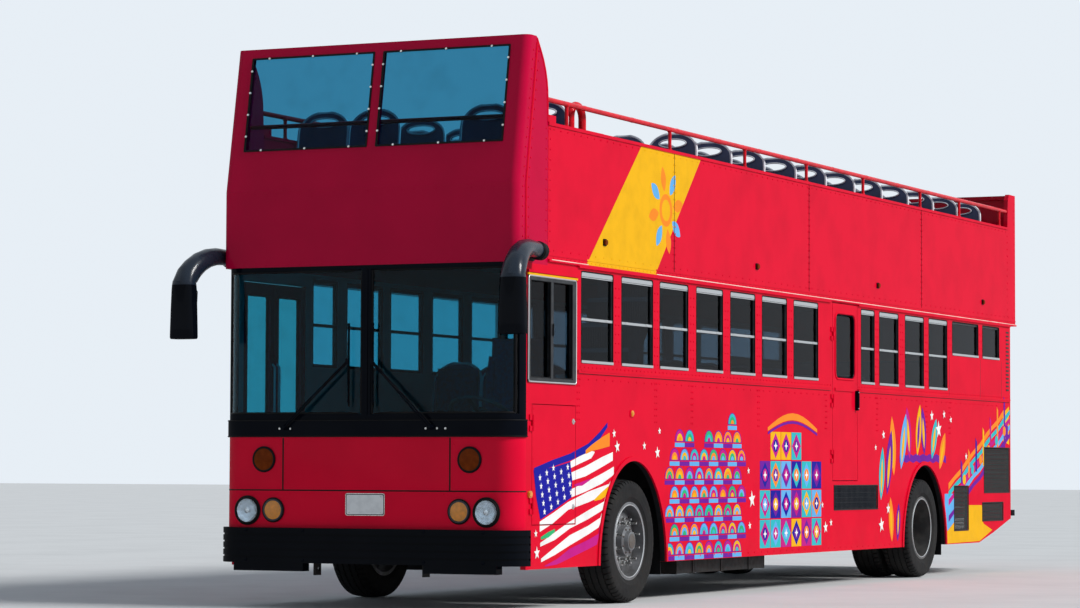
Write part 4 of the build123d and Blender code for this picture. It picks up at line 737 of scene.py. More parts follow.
@dataclass
class RoadWheels:
    """Tyres, nuts, hub bolts and valves of all the wheels."""

    stud_circle: float = 0.1675
    studs: int = 10
    nut_radius: float = 0.0165
    front_seat: float = WHEEL_X + 0.059
    rear_seat: float = 0.925
    lip_x: float = WHEEL_X + 0.1225
    lip: float = 0.279

    def build(self) -> list[Piece]:
        """Builds the rubber and the fastenings of each wheel."""
        made = []
        for side in Side:
            word, sign = side.word, side.value
            front = Shape()
            TreadedTyre(WHEEL_X, FRONT_AXLE_S).build(front, sign)
            tyre = front.piece(f"front_tread_{word}", [Paint.TYRE], f"wheel_front_{word}", "tyre", crease=28)
            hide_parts(f"front_tyre_{word}")
            rear = Shape()
            for x in (WHEEL_X, TWIN_X):
                TreadedTyre(x, REAR_AXLE_S).build(rear, sign)
            twins = rear.piece(f"rear_treads_{word}", [Paint.TYRE], f"wheels_rear_{word}", "tyre", crease=28)
            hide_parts(f"rear_tyres_{word}")
            made += [tyre, twins, self.front_hub(side), self.rear_hub(side)]
        return made

    def ring(self, shape: Shape, sign: int, x: float, s: float, reach: float, count: int, radius: float,
            height: float, mark: int = 0) -> None:
        """A ring of nuts that face outward."""
        for y, z in circle(at(s), AXLE_Z, reach, count, 0.5):
            shape.nut(Vector((sign * x, y, z)), Vector((sign, 0, 0)), radius, height, mark)

    def lip_bead(self, shape: Shape, sign: int, s: float) -> None:
        """The bright bead round a rim's lip."""
        shape.rod([(sign * self.lip_x, y, z) for y, z in circle(at(s), AXLE_Z, self.lip, 72)], 0.0045, 8, closed=True,
            mark=2)

    def front_hub(self, side: Side) -> Piece:
        """Nuts, oil cap and valve of a front wheel."""
        sign, shape = side.value, Shape()
        self.ring(shape, sign, self.front_seat, FRONT_AXLE_S, self.stud_circle, self.studs, self.nut_radius, 0.03)
        for y, z in circle(at(FRONT_AXLE_S), AXLE_Z, self.stud_circle, self.studs, 0.5):
            shape.rod([(sign * (self.front_seat + d), y, z) for d in (0.02, 0.078)], 0.0085, 8)
        self.ring(shape, sign, WHEEL_X + 0.108, FRONT_AXLE_S, 0.094, 8, 0.008, 0.009, 1)
        hub = (sign * (WHEEL_X + 0.141), at(FRONT_AXLE_S), AXLE_Z)
        shape.lathe([(0, 0), (0, 0.056), (0.004, 0.058), (0.007, 0.05), (0.007, 0.03), (0.0085, 0.026), (0.0085, 0)],
            hub, (sign, 0, 0), 28, 1)
        y, z = at(FRONT_AXLE_S) + 0.19, AXLE_Z + 0.135
        shape.rod([(sign * (WHEEL_X + 0.03), y, z), (sign * (WHEEL_X + 0.075), y + 0.006, z + 0.004),
            (sign * (WHEEL_X + 0.1), y + 0.004, z + 0.003)], 0.0055, 8, mark=1)
        self.lip_bead(shape, sign, FRONT_AXLE_S)
        return shape.piece(f"front_hub_{side.word}", [Paint.STEEL, Paint.FORGED, Paint.ALUMINIUM],
            f"wheel_front_{side.word}", "rim")

    def rear_hub(self, side: Side) -> Piece:
        """Nuts and half-shaft bolts of a rear pair."""
        sign, shape = side.value, Shape()
        self.ring(shape, sign, self.rear_seat, REAR_AXLE_S, self.stud_circle, self.studs, self.nut_radius, 0.032)
        self.ring(shape, sign, 1.053, REAR_AXLE_S, 0.064, 10, 0.007, 0.01, 1)
        self.lip_bead(shape, sign, REAR_AXLE_S)
        return shape.piece(f"rear_hub_{side.word}", [Paint.STEEL, Paint.FORGED, Paint.ALUMINIUM],
            f"wheels_rear_{side.word}", "rim")


@dataclass
class RoundLamps:
    """Lamps of the front and rear, each with a ring, a bowl and a domed lens."""

    head: tuple = (0.988, 0.714, 0.101)
    turn: tuple = (0.769, 0.718, 0.084)
    high: tuple = (0.851, 1.092, 0.095)
    tail_x: float = 0.96
    tail_rows: tuple = ((0.76, 1), (0.96, 2), (1.16, 1))
    marker_rows: tuple = (1.53, 4.687, 7.761, 10.976)

    def lamp(self, shape: Shape, x: float, y: float, z: float, radius: float, depth: float, facing: int, lens: int,
            ring: int, ribs: int) -> None:
        """Adds one lamp to a shape.

        Args:
            shape: what gathers the lamps.
            x: centre.
            y: plane of the panel.
            z: height.
            radius: outer radius of the ring.
            depth: how far the lamp stands out.
            facing: sign of Y that it faces.
            lens: mark of the lens.
            ring: mark of the ring.
            ribs: how many rings are moulded in the lens.
        """
        axis, centre = (0, facing, 0), (x, y, z)
        shape.lathe([(0, radius - 0.004), (0, radius), (depth * 0.35, radius), (depth * 0.75, radius - 0.004),
            (depth * 0.8, radius - 0.011), (depth * 0.55, radius - 0.015), (depth * 0.4, radius - 0.015)], centre,
            axis, 48, ring, loop=True)
        inner = radius - 0.014
        shape.lathe([(depth * 0.1, 0), (depth * 0.12, inner * 0.5), (depth * 0.25, inner * 0.85),
            (depth * 0.45, inner + 0.001), (depth * 0.04, inner + 0.001), (depth * 0.04, 0)], centre, axis, 40, 0)
        face = []
        for k in range(ribs * 2 + 1):
            share = 1 - k / (ribs * 2)
            rise = depth * (0.58 + 0.4 * (1 - share * share))
            face.append((rise - (0.0012 if k % 2 else 0.0), inner * share))
        shape.lathe([(depth * 0.5, 0), (depth * 0.5, inner), *face], centre, axis, 40, lens)

    def build(self) -> list[Piece]:
        """Builds the front, marker and tail lamps."""
        clear, amber, tail = Shape(), Shape(), Shape()
        for sign in (1, -1):
            self.lamp(clear, sign * self.head[0], at(0), self.head[1], self.head[2], 0.026, -1, 1, 3, 4)
            clear.lathe([(0.004, 0), (0.004, 0.022), (0.014, 0.02), (0.018, 0.012), (0.019, 0)],
                (sign * self.head[0], at(0), self.head[1]), AHEAD, 18, 0)
            self.lamp(amber, sign * self.turn[0], at(0), self.turn[1], self.turn[2], 0.022, -1, 1, 6, 6)
            self.lamp(amber, sign * self.high[0], at(0), self.high[1], self.high[2], 0.02, -1, 2, 3, 7)
            for z, lens in self.tail_rows:
                self.lamp(tail, sign * self.tail_x, at(REAR_S), z, 0.08, 0.024, 1, lens, 3, 5)
            self.markers(amber, sign)
            amber.rod([(x, at(0) - 0.007, z) for x, z in circle(sign * self.high[0], self.high[1], 0.092, 48)], 0.005,
                6, closed=True, mark=5)
            for x, z, radius in (self.head, self.turn):
                rim = [(u, at(0) - 0.006, v) for u, v in circle(sign * x, z, radius + 0.004, 48)]
                clear.rod(rim, 0.0055, 6, closed=True, mark=3)
        heads = clear.piece("headlamp_units", [Paint.CHROME, Lens.CLEAR, Paint.CHROME, Paint.RUBBER], "bus",
            "lamp_clear")
        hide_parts("headlamps")
        turns = amber.piece("amber_units", [Paint.CHROME, Lens.AMBER, Lens.DEEP_AMBER, Paint.RUBBER, Paint.SIDE,
            Paint.BLACK, Paint.FIN], "bus", "lamp_amber")
        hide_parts("amber_lamps")
        tails = tail.piece("tail_units", [Paint.CHROME, Lens.RED, Lens.AMBER, Paint.RUBBER], "bus", "lamp_red")
        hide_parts("tail_lamps")
        return [heads, turns, tails]

    def markers(self, shape: Shape, sign: int) -> None:
        """Side markers: small domed lenses on painted feet."""
        for s in self.marker_rows:
            shape.slab(rounded((s - 0.03, s + 0.03, 2.722, 2.774), 0.008), sign, 0, 0.008, 5, UP_OUT)
            shape.slab(rounded((s - 0.022, s + 0.022, 2.73, 2.766), 0.012), sign, 0.006, 0.022, 2, UP_OUT)
        shape.slab(rounded((2.02, 2.1, 1.43, 1.485), 0.02), sign, 0, 0.006, 4)
        shape.lathe([(0.002, 0), (0.002, 0.026), (0.01, 0.024), (0.017, 0.014), (0.02, 0)],
            (sign * HALF_W, at(2.06), 1.458), (sign, 0, 0), 18, 1)
        if sign > 0:
            shape.slab(rounded((0.19, 0.252, 0.82, 0.87), 0.02), sign, 0, 0.012, 1)
            shape.slab(rounded((0.198, 0.244, 0.828, 0.862), 0.015), sign, 0.01, 0.018, 1)


@dataclass
class FrontFittings:
    """Plate, cowl bolts, panel trim, wipers and bumper bolts."""

    plate: tuple = (-0.16, 0.16, 0.685, 0.843)
    wipers: tuple = ((-0.666, -0.133), (0.546, 0.067))
    pivot_z: float = 1.33
    bumper_out: float = 0.042

    def build(self) -> list[Piece]:
        """Builds the front's small pieces."""
        return [self.number_plate(), self.panel_trim(), self.wiper_arms(), self.bumper_bolts()]

    def number_plate(self) -> Piece:
        """A blank plate in a thin frame with four bolts."""
        x0, x1, z0, z1 = self.plate
        shape = Shape()
        for low, high, by, corner, mark in ((0.0, 0.005, 0.0, 0.014, 0), (0.005, 0.0056, -0.008, 0.01, 1)):
            outline = rounded(grown(self.plate, by), corner)
            shape.skin([[(x, at(0) - d, z) for x, z in outline] for d in (low, high)], closed=True, caps=True,
                mark=mark)
        for x in (x0 + 0.03, x1 - 0.03):
            for z in (z0 + 0.02, z1 - 0.02):
                shape.rivet((x, at(0) - 0.005, z), AHEAD, 0.006, 2)
        shape.rod([(x, at(0) - 0.004, z) for x, z in rounded(self.plate, 0.014)], 0.003, 6, closed=True, mark=2)
        return shape.piece("blank_plate", [Paint.BLACK, Paint.PLATE, Paint.STEEL], "bus")

    def panel_trim(self) -> Piece:
        """Cowl bolts, lock buttons and the seams' beads on the front panel."""
        shape = Shape()
        for x in (-0.715, -0.625, 0.5, 0.592, 0.66):
            shape.rivet((x, at(0) - 0.012, 1.318), AHEAD, 0.01, 0)
        for x0 in (-0.691, 0.691):
            shape.box((x0 - 0.006, at(0) - 0.0008, 0.868), (x0 + 0.006, at(0) + 0.004, 1.25), 2)
        shape.rod(nose_path(0.003, 0.865), 0.006, 6, mark=2)
        for x, z in ((-0.66, 1.2), (0.66, 1.2), (-0.66, 0.92), (0.66, 0.92), (-0.72, 1.2), (0.72, 1.2)):
            shape.lathe([(-0.001, 0), (-0.001, 0.009), (0.002, 0.009), (0.003, 0.007), (0.0015, 0.0)], (x, at(0), z),
                AHEAD, 16, 1)
        for x in [-0.64 + 0.16 * k for k in range(9)]:
            shape.rivet((x, at(0), 0.838 if abs(x) > 0.2 else 0.655), AHEAD, 0.005, 1)
        for z in (2.53, 3.06):
            for k in range(23):
                shape.rivet((-1.04 + 0.0945 * k, at(0), z), AHEAD, 0.0055, 3)
        for z in (1.262, 1.378):
            shape.rod(nose_path(-0.013, z), 0.004, 6, mark=2)
        return shape.piece("front_trim", [Paint.STEEL, Paint.FRONT, Paint.RUBBER, Paint.UPPER_FRONT], "bus")

    def wiper_arms(self) -> Piece:
        """Two wipers: pivot, double rods, carrier and rubber blade."""
        shape = Shape()
        for pivot, blade in self.wipers:
            face = at(0)
            shape.lathe([(0.008, 0), (0.008, 0.022), (0.03, 0.021), (0.045, 0.014), (0.052, 0.012), (0.052, 0)],
                (pivot, face, self.pivot_z), AHEAD, 20, 0)
            for shift in (-0.012, 0.012):
                foot = (pivot + shift, face - 0.044, self.pivot_z)
                shape.rod([foot, (blade + shift * 0.6, face - 0.042, 1.81)], 0.0055, 8)
            shape.box((blade - 0.014, face - 0.05, 1.79), (blade + 0.014, face - 0.03, 1.83), 0)
            bow = [(blade, face - 0.026 - 0.008 * sin(pi * k / 10), 1.49 + 0.059 * k) for k in range(11)]
            shape.rod(bow, 0.006, 6, flat=0.6)
            shape.box((blade - 0.0025, face - 0.026, 1.48), (blade + 0.0025, face - 0.009, 2.09), 1)
            for k in range(5):
                z = 1.51 + 0.14 * k
                shape.box((blade - 0.008, face - 0.03, z), (blade + 0.008, face - 0.018, z + 0.018), 0)
            hose = [(pivot + 0.02, face - 0.03, self.pivot_z),
                (pivot + 0.03 + (blade - pivot) * 0.3, face - 0.046, 1.48),
                (blade + (pivot - blade) * 0.25, face - 0.046, 1.69), (blade, face - 0.04, 1.79)]
            shape.rod(hose, 0.0028, 6, mark=1)
        made = shape.piece("wiper_sets", [Paint.GLOSS_BLACK, Paint.RUBBER], "bus", "black_trim")
        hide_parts("wipers")
        return made

    def bumper_bolts(self) -> Piece:
        """Round-headed bolts and end seams of the front bumper, and the rear bumper's bolts."""
        shape = Shape()
        for x in (-0.98, -0.5, 0.5, 0.98):
            for z in (0.352, 0.571):
                shape.lathe([(-0.002, 0), (-0.002, 0.014), (0.004, 0.013), (0.006, 0.007), (0.0065, 0)],
                    (x, at(-self.bumper_out), z), AHEAD, 18, 0)
        for x in (-1.0, -0.4, 0.4, 1.0):
            shape.lathe([(-0.002, 0), (-0.002, 0.012), (0.004, 0.011), (0.006, 0)], (x, at(12.164), 0.59), BACK, 16,
                0)
        return shape.piece("bumper_bolts", [Paint.GLOSS_BLACK], "bus")


@dataclass
class Mirrors:
    """Two swept mirror shells, each on a rubber foot, with two reflectors that face back."""

    arm: tuple = ((1.289, 0.262, 2.6, 0.057), (1.289, 0.2, 2.606, 0.058), (1.29, 0.12, 2.611, 0.06),
        (1.296, 0.02, 2.61, 0.065), (1.308, -0.08, 2.592, 0.071), (1.322, -0.17, 2.556, 0.077),
        (1.336, -0.245, 2.505, 0.082), (1.346, -0.3, 2.45, 0.086))
    head: tuple = ((2.405, 0.088, 0.074, 2.3), (2.38, 0.09, 0.068, 2.8), (2.34, 0.092, 0.064, 3.4),
        (2.2, 0.097, 0.06, 4.0), (2.05, 0.103, 0.057, 4.0), (1.992, 0.105, 0.055, 4.0), (1.979, 0.1, 0.05, 4.0),
        (1.977, 0.07, 0.03, 4.0))
    head_at: Flat = (1.352, -0.335)
    steps: int = 36

    def section(self, sign: int, centre: Vector, along: Vector, half: float, deep: float, power: float) -> list:
        """One rounded section across the mirror's line.

        Args:
            sign: sign of X.
            centre: its middle.
            along: the line's direction there.
            half: half of its width.
            deep: half of its depth.
            power: 2 for an ellipse, more for squarer corners.

        Returns:
            The section's points.
        """
        across = Vector((along.y, -along.x, 0)) if abs(along.z) < 0.97 else Vector((-1, 0, 0))
        across = Vector((-1, across.y / max(abs(across.x), 0.3) * 0.3, 0)).normalized()
        across = (across - along * across.dot(along)).normalized()
        other = along.cross(across)
        loop = []
        for t in turns(self.steps):
            u, v = cos(t), sin(t)
            reach = (abs(u) ** power + abs(v) ** power) ** (-1 / power)
            p = centre + across * u * reach * half + other * v * reach * deep
            loop.append((sign * p.x, p.y, p.z))
        return loop

    def build(self) -> list[Piece]:
        """Builds the shells and the small parts of both mirrors."""
        shells, parts = Shape(), Shape()
        for sign in (1, -1):
            points = [Vector((x, at(s), z)) for x, s, z, _ in self.arm]
            points += [Vector((self.head_at[0], at(self.head_at[1]), row[0])) for row in self.head]
            sizes = [(r, r, 2.0) for _, _, _, r in self.arm] + [row[1:] for row in self.head]
            rows = []
            for k, (p, (half, deep, power)) in enumerate(zip(points, sizes)):
                ahead, back = points[min(k + 1, len(points) - 1)], points[max(k - 1, 0)]
                along = Vector((0, 0, -1)) if k >= len(self.arm) else (ahead - back).normalized()
                rows.append(self.section(sign, p, along, half, deep, power))
            joint = len(self.arm) + 1
            shells.skin(rows[:joint + 1], closed=True)
            shells.skin(rows[joint:], closed=True, mark=1)
            shells.faces.append(tuple(range(self.steps)))
            shells.marks.append(0)
            shells.faces.append(tuple(len(shells.verts) - self.steps + k for k in range(self.steps)))
            shells.marks.append(1)
            self.parts(parts, sign)
        shell = shells.piece("mirror_shells", [Paint.SLATE, Paint.BLACK], "bus", "black_trim")
        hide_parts("mirrors")
        return [shell, parts.piece("mirror_parts", [Paint.CHROME, Paint.RUBBER], "bus")]

    def parts(self, shape: Shape, sign: int) -> None:
        """Foot plate, rubber boot, joint ring and reflectors of one mirror."""
        shape.slab(rounded((0.15, 0.285, 2.53, 2.675), 0.03), sign, -0.001, 0.012, 1)
        shape.lathe([(-0.075, 0.056), (-0.075, 0.066), (-0.02, 0.069), (-0.012, 0.062), (0.0, 0.0645),
            (0.004, 0.056)], (sign * 1.289, at(0.186), 2.604), (0, -1, 0.06), 32, 1, loop=True)
        for z in (2.552, 2.652):
            shape.rivet((sign * (HALF_W + 0.012), at(0.168), z), (sign, 0, 0), 0.009, 0)
        x, back = sign * self.head_at[0], at(self.head_at[1])
        for z0, z1, half in ((2.13, 2.345, 0.074), (2.005, 2.1, 0.08)):
            loop = rounded((x - half, x + half, z0, z1), 0.02)
            rows = [[(px, back + d + 0.0643 - 0.027 * (2.34 - pz) / 0.35, pz) for px, pz in loop]
                for d in (-0.008, 0.0)]
            shape.skin(rows, closed=True, caps=True, mark=0)
            shape.rod(rows[1], 0.0045, 6, closed=True, mark=1)


SPLIT_LEFT = ((1.111, 1.706), (1.856, 2.472), (2.603, 3.19), (3.355, 3.932), (4.093, 4.658), (4.813, 5.406),
    (5.568, 6.181), (7.305, 7.679), (7.807, 8.357), (8.546, 9.108), (9.254, 9.833))
SPLIT_RIGHT = ((1.3, 1.706), (1.856, 2.472), (2.603, 3.19), (3.355, 3.932), (4.093, 4.658), (4.813, 5.406),
    (5.568, 6.181), (6.33, 6.9), (7.05, 7.679), (7.807, 8.357), (8.546, 9.108), (9.254, 9.833))
SHORT_WINDOWS = ((9.985, 10.84), (10.97, 11.546))
SILL_Z, WIN_TOP_Z, SHORT_Z, BAR_Z = 1.82, 2.51, 2.172, 2.15
MESHES = ((11.019, 11.88, 0.808, 1.262), (10.038, 10.488, 0.437, 0.872), (10.956, 11.656, 0.522, 0.702))
GRILLE = (6.585, 7.752, 0.675, 0.888)
DOOR = (6.545, 7.21, 0.93, 2.536)
HATCH = (0.261, 1.021, 0.62, 1.5)
SWATH = ((1.21, 2.515, 2.5645), (2.23, 3.44, 3.545))


def sorted_corners(first: tuple, second: tuple) -> tuple[tuple, tuple]:
    """The lowest and the highest corner of the box between two points."""
    return tuple(map(min, first, second)), tuple(map(max, first, second))


def on_swath(wall: float, s: float, z: float) -> bool:
    """Whether a point of an upper side lies on the yellow swath."""
    (low0, low1, base), (high0, high1, top) = SWATH
    share = (z - base) / (top - base)
    return wall > HALF_W and low0 + share * (high0 - low0) < s < low1 + share * (high1 - low1)


def side_windows(side: Side) -> list[tuple]:
    """Every fixed window of one side as (front, rear, bottom, top)."""
    splits = SPLIT_LEFT if side is Side.LEFT else SPLIT_RIGHT
    return [(a, b, SILL_Z, WIN_TOP_Z) for a, b in splits] + [(a, b, SHORT_Z, WIN_TOP_Z) for a, b in SHORT_WINDOWS]


@dataclass
class WindowTrim:
    """Rubber round the panes, screws round the upper screens, latches on the mid bars."""

    screen_x: tuple = (0.04, 1.075)
    screen_z: tuple = (3.395, 4.105)
    band: float = 0.009

    def build(self) -> list[Piece]:
        """Builds the trim of every window that stays with the bus."""
        return [self.side_seals(side) for side in Side] + [self.windshield_seal(), self.screen_bands()]

    def side_seals(self, side: Side) -> Piece:
        """Seals and latches of one side's windows."""
        sign, shape = side.value, Shape()
        for s0, s1, z0, z1 in side_windows(side):
            shape.seal(grown((s0, s1, z0, z1), -0.003), sign, -0.004, 0.007)
            if z0 == SILL_Z:
                for s in (s0 + 0.11, s1 - 0.11):
                    shape.slab(rounded((s - 0.022, s + 0.022, BAR_Z - 0.008, BAR_Z + 0.01), 0.006), sign, -0.01,
                        -0.001, 1)
                self.bar(shape, sign, s0 + 0.01, s1 - 0.01, BAR_Z - 0.01, BAR_Z + 0.009, -0.009, -0.003)
            self.bar(shape, sign, s0 + 0.006, s1 - 0.006, z0 + 0.001, z0 + 0.021, -0.01, 0.006)
            if z0 < SHORT_Z:
                self.bar(shape, sign, s0 + 0.008, s1 - 0.008, z1 - 0.04, z1 - 0.006, -0.01, -0.002)
                self.bar(shape, sign, s0 + 0.008, s1 - 0.008, z1 - 0.05, z1 - 0.043, -0.01, -0.004)
        if side is Side.LEFT:
            self.driver_window(shape, sign)
        return shape.piece(f"window_seals_{side.word}", [Paint.RUBBER, Paint.ALUMINIUM, Ink.YELLOW.finish()], "bus")

    def driver_window(self, shape: Shape, sign: int) -> None:
        """Bright frame, sliding panes' seals, catch and yellow head strip of the driver's window."""
        shape.seal((0.182, 1.006, 1.659, 2.426), sign, 0.009, 0.006, 0.02, mark=1)
        for a, b, c, d in ((0.18, 1.008, 1.657, 1.685), (0.18, 1.008, 2.4, 2.428), (0.18, 0.208, 1.657, 2.428),
                (0.98, 1.008, 1.657, 2.428), (0.566, 0.58, 1.68, 2.405), (0.59, 0.6, 1.68, 2.405)):
            self.bar(shape, sign, a, b, c, d, -0.002, 0.0075)
        shape.seal((0.214, 0.56, 1.691, 2.396), sign, 0.004, 0.006, 0.02)
        shape.seal((0.6, 0.94, 1.691, 2.396), sign, 0.004, 0.006, 0.02)
        shape.slab(rounded((0.585, 0.6, 2.0, 2.09), 0.005), sign, 0.006, 0.02, 0)
        shape.slab(oblong(0.17, 1.03, 2.431, 2.447), sign, 0.0, 0.012, 2)

    def bar(self, shape: Shape, sign: int, s0: float, s1: float, z0: float, z1: float, low: float,
            high: float) -> None:
        """A flat bright bar between two stations and heights, from one depth out of the wall to another."""
        shape.slab(oblong(s0, s1, z0, z1), sign, low, high, 1)

    def windshield_seal(self) -> Piece:
        """The beads round both halves of the windshield."""
        shape = Shape()
        for sign in (1, -1):
            corner = [(1.055 + 0.152 * sin(t), NOSE_R - 0.152 * cos(t))
                for t in [radians(a) for a in range(0, 60, 6)]]
            bow = [(0.043 + 0.101 * k, 0.013) for k in range(10)] + [p for p in corner if p[1] <= 0.088]
            low = [(sign * x, at(s), 1.43) for x, s in bow]
            high = [(sign * x, at(s), 2.48) for x, s in reversed(bow)]
            shape.rod(low + high, 0.011, 8, closed=True)
        strip = rounded((-0.012, 0.012, 1.42, 2.49), 0.008)
        shape.skin([[(x, at(0) - d, z) for x, z in strip] for d in (-0.002, 0.005)], closed=True, caps=True, mark=1)
        return shape.piece("windshield_seal", [Paint.RUBBER, Paint.GLOSS_BLACK], "bus")

    def screen_bands(self) -> Piece:
        """The wide dark bands round the upper screens with their bright screws."""
        shape = Shape()

        def on_face(x: float, z: float, out: float) -> tuple:
            """A point on the leaning upper face."""
            return (x, at(rake_at(z)) - out, z)

        for sign in (1, -1):
            (x0, x1), (z0, z1) = self.screen_x, self.screen_z
            box = (x0, x1, z0, z1)
            shape.frame(rounded(grown(box, 0.005), 0.008), rounded(grown(box, -self.band), 0.006), -0.002, 0.006,
                lambda x, z, depth: on_face(sign * x, z, depth))
            screws = [(x0 + (x1 - x0) * (0.14 + 0.36 * k), z) for k in range(3) for z in (z0 + 0.004, z1 - 0.004)]
            screws += [(x, z0 + (z1 - z0) * (0.16 + 0.235 * k)) for k in range(4) for x in (x0 + 0.004, x1 - 0.004)]
            for x, z in screws:
                shape.rivet(on_face(sign * x, z, 0.006), (0, -1, 0.17), 0.0105, 1)
        return shape.piece("screen_bands", [Paint.RUBBER, Paint.STEEL], "bus")


@dataclass
class PanelWork:
    """Rivets, lap strips and small vents of the body's panels."""

    upper_seams: tuple = (2.89, 5.945, 9.036)
    lower_seams: tuple = (1.066, 2.53, 3.27, 4.735, 6.38, 7.745, 9.18, 9.9)
    wing_edge: tuple = ((0.516, 3.57), (0.506, 3.8), (0.492, 3.875), (0.468, 3.945), (0.43, 4.02), (0.387, 4.08),
        (0.35, 4.128), (0.325, 4.162))
    fin_pitch: float = 0.033
    wire_pitch: float = 0.026

    def build(self) -> list[Piece]:
        """Builds both sides' panel work."""
        return [self.upper(side) for side in Side] + [self.lower(side) for side in Side]

    def column(self, shape: Shape, sign: int, wall: float, s: float, z0: float, z1: float, pitch: float) -> None:
        """A column of rivets."""
        for k in range(int((z1 - z0) / pitch) + 1):
            z = z0 + k * pitch
            shape.rivet((sign * wall, at(s), z), (sign, 0, 0), 0.008, 2 if on_swath(wall, s, z) else 0)

    def row(self, shape: Shape, sign: int, wall: float, z: float, s0: float, s1: float, pitch: float) -> None:
        """A row of rivets along a station range."""
        for k in range(int((s1 - s0) / pitch) + 1):
            s = s0 + k * pitch
            shape.rivet((sign * wall, at(s), z), (sign, 0, 0), 0.0075, 2 if on_swath(wall, s, z) else 0)

    def upper(self, side: Side) -> Piece:
        """Lap strips, corner moulding, flange line, painted ledge highlight and rivets of one upper side panel."""
        sign, shape = side.value, Shape()
        for s in self.upper_seams:
            shape.slab(oblong(s - 0.002, s + 0.002, 2.6, 3.545), sign, 0, 0.0028, 3, UP_OUT)
            for shift in (-0.02, 0.02):
                self.column(shape, sign, UP_OUT, s + shift, 2.63, 3.52, 0.055)
        for s0, s1, mark in ((WING_S, SWATH[0][0], 0), (SWATH[0][0], SWATH[0][1], 2), (SWATH[0][1], 12.11, 0)):
            shape.slab(oblong(s0, s1, 2.588, 2.6), sign, 0, 0.004, mark, UP_OUT)
            # The strip along the drip ledge's top outer edge is a painted highlight in pale paint; where the swath
            # crosses, it takes the yellow film.
            shape.slab(oblong(max(s0, 0.56), s1, 2.5565, 2.5625), sign, 0.0, 0.0145, 2 if mark else 1, UP_OUT)
        shape.rod([(sign * HALF_W, at(0.145 + rake_at(z)), z) for z in (2.53, 2.8, KINK_Z, 3.5, 4.13)], 0.0105)
        for k in range(22):
            z = 2.56 + 0.072 * k
            for s in (0.095, 0.19):
                shape.rivet((sign * HALF_W, at(s + rake_at(z)), z), (sign, 0, 0))
        for s in (WING_S - 0.03, WING_S + 0.034):
            self.column(shape, sign, HALF_W if s < WING_S else UP_OUT, s, 2.62, 3.52, 0.075)
        self.row(shape, sign, UP_OUT, 2.574, 0.62, 12.05, 0.075)
        self.row(shape, sign, UP_OUT, 2.63, 0.62, 12.05, 0.15)
        self.row(shape, sign, UP_OUT, 3.52, 0.62, 11.8, 0.12)
        shape.rod([(sign * (HALF_W - 0.006), at(s), z) for s, z in self.wing_edge], 0.013)
        self.column(shape, sign, UP_OUT, 11.83, 2.64, 3.5, 0.07)
        self.column(shape, sign, UP_OUT, 12.08, 2.64, 3.88, 0.07)
        return shape.piece(f"upper_panel_work_{side.word}",
            [Paint.UPPER, Paint.EDGE, Ink.YELLOW.finish(), Paint.RUBBER], "bus", "red_paint")

    def lower(self, side: Side) -> Piece:
        """Rivets, ledge, corner slots, screens and arch rings of one lower side."""
        sign, shape = side.value, Shape()
        for s in self.lower_seams:
            if side is Side.RIGHT and s < 1.3:
                continue
            for shift in (-0.018, 0.018):
                self.column(shape, sign, HALF_W, s + shift, 1.4, 1.7, 0.05)
        windows = side_windows(side)
        for first, second in zip(windows, windows[1:]):
            gap = (first[1] + second[0]) / 2
            if second[0] - first[1] < 0.3:
                for shift in (-0.03, 0.03):
                    self.column(shape, sign, HALF_W, gap + shift, max(first[2], second[2]) + 0.03, 2.48, 0.07)
        self.waist(shape, side)
        self.row(shape, sign, HALF_W, 0.335, 3.0, 8.3, 0.15)
        for k in range(16):
            z = 1.86 + 0.04 * k
            shape.slab(rounded((11.78, 11.87, z, z + 0.017), 0.006, 2), sign, -0.002, 0.0035, 1)
        self.screens(shape, sign)
        self.arch_rings(shape, sign)
        return shape.piece(f"lower_panel_work_{side.word}", [Paint.SIDE, Paint.DARK_IN, Paint.FIN], "bus",
            "red_paint")

    def waist(self, shape: Shape, side: Side) -> None:
        """Rivet rows, ledge and a painted-shade strip in the groove under the windows, and the seams of the rear
        panels.
        """
        sign = side.value
        start = 1.1 if side is Side.LEFT else 1.3
        for s0, s1 in ((start, 6.5), (7.25, 11.9)) if side is Side.LEFT else ((start, 11.9),):
            self.row(shape, sign, HALF_W, 1.79, s0, s1, 0.075)
            self.row(shape, sign, HALF_W, 1.7, s0, s1, 0.15)
            shape.slab(oblong(s0, s1, 1.757, 1.771), sign, -0.001, 0.012)
            # A dark strip in the rub groove under the ledge: painted shade.
            shape.slab(oblong(s0, s1, 1.7385, 1.7455), sign, -0.002, 0.0006, 1)
        for s in (9.9, 10.905, 11.62):
            shape.box(*sorted_corners((sign * (HALF_W - 0.001), at(s) - 0.0025, 1.76),
                (sign * (HALF_W + 0.0008), at(s) + 0.0025, 2.16)), 1)
        shape.box(*sorted_corners((sign * (HALF_W - 0.001), at(9.9), 1.757),
            (sign * (HALF_W + 0.0008), at(11.62), 1.762)), 1)

    def arch_rings(self, shape: Shape, sign: int) -> None:
        """A flat dark ring on the lip of each wheel arch."""
        section = (1.1755, 0.0008), (1.2165, 0.0008), (1.2165, 0.0035), (1.1755, 0.0035)
        half_turn = [pi * k / 36 for k in range(37)]
        for mid, high in ARCHES:
            rows = [[(sign * x, at(mid - (0.637 - d) * cos(t)), 0.304 + (high - d) * sin(t)) for t in half_turn]
                for x, d in section]
            shape.skin(rows, around=True, mark=1)

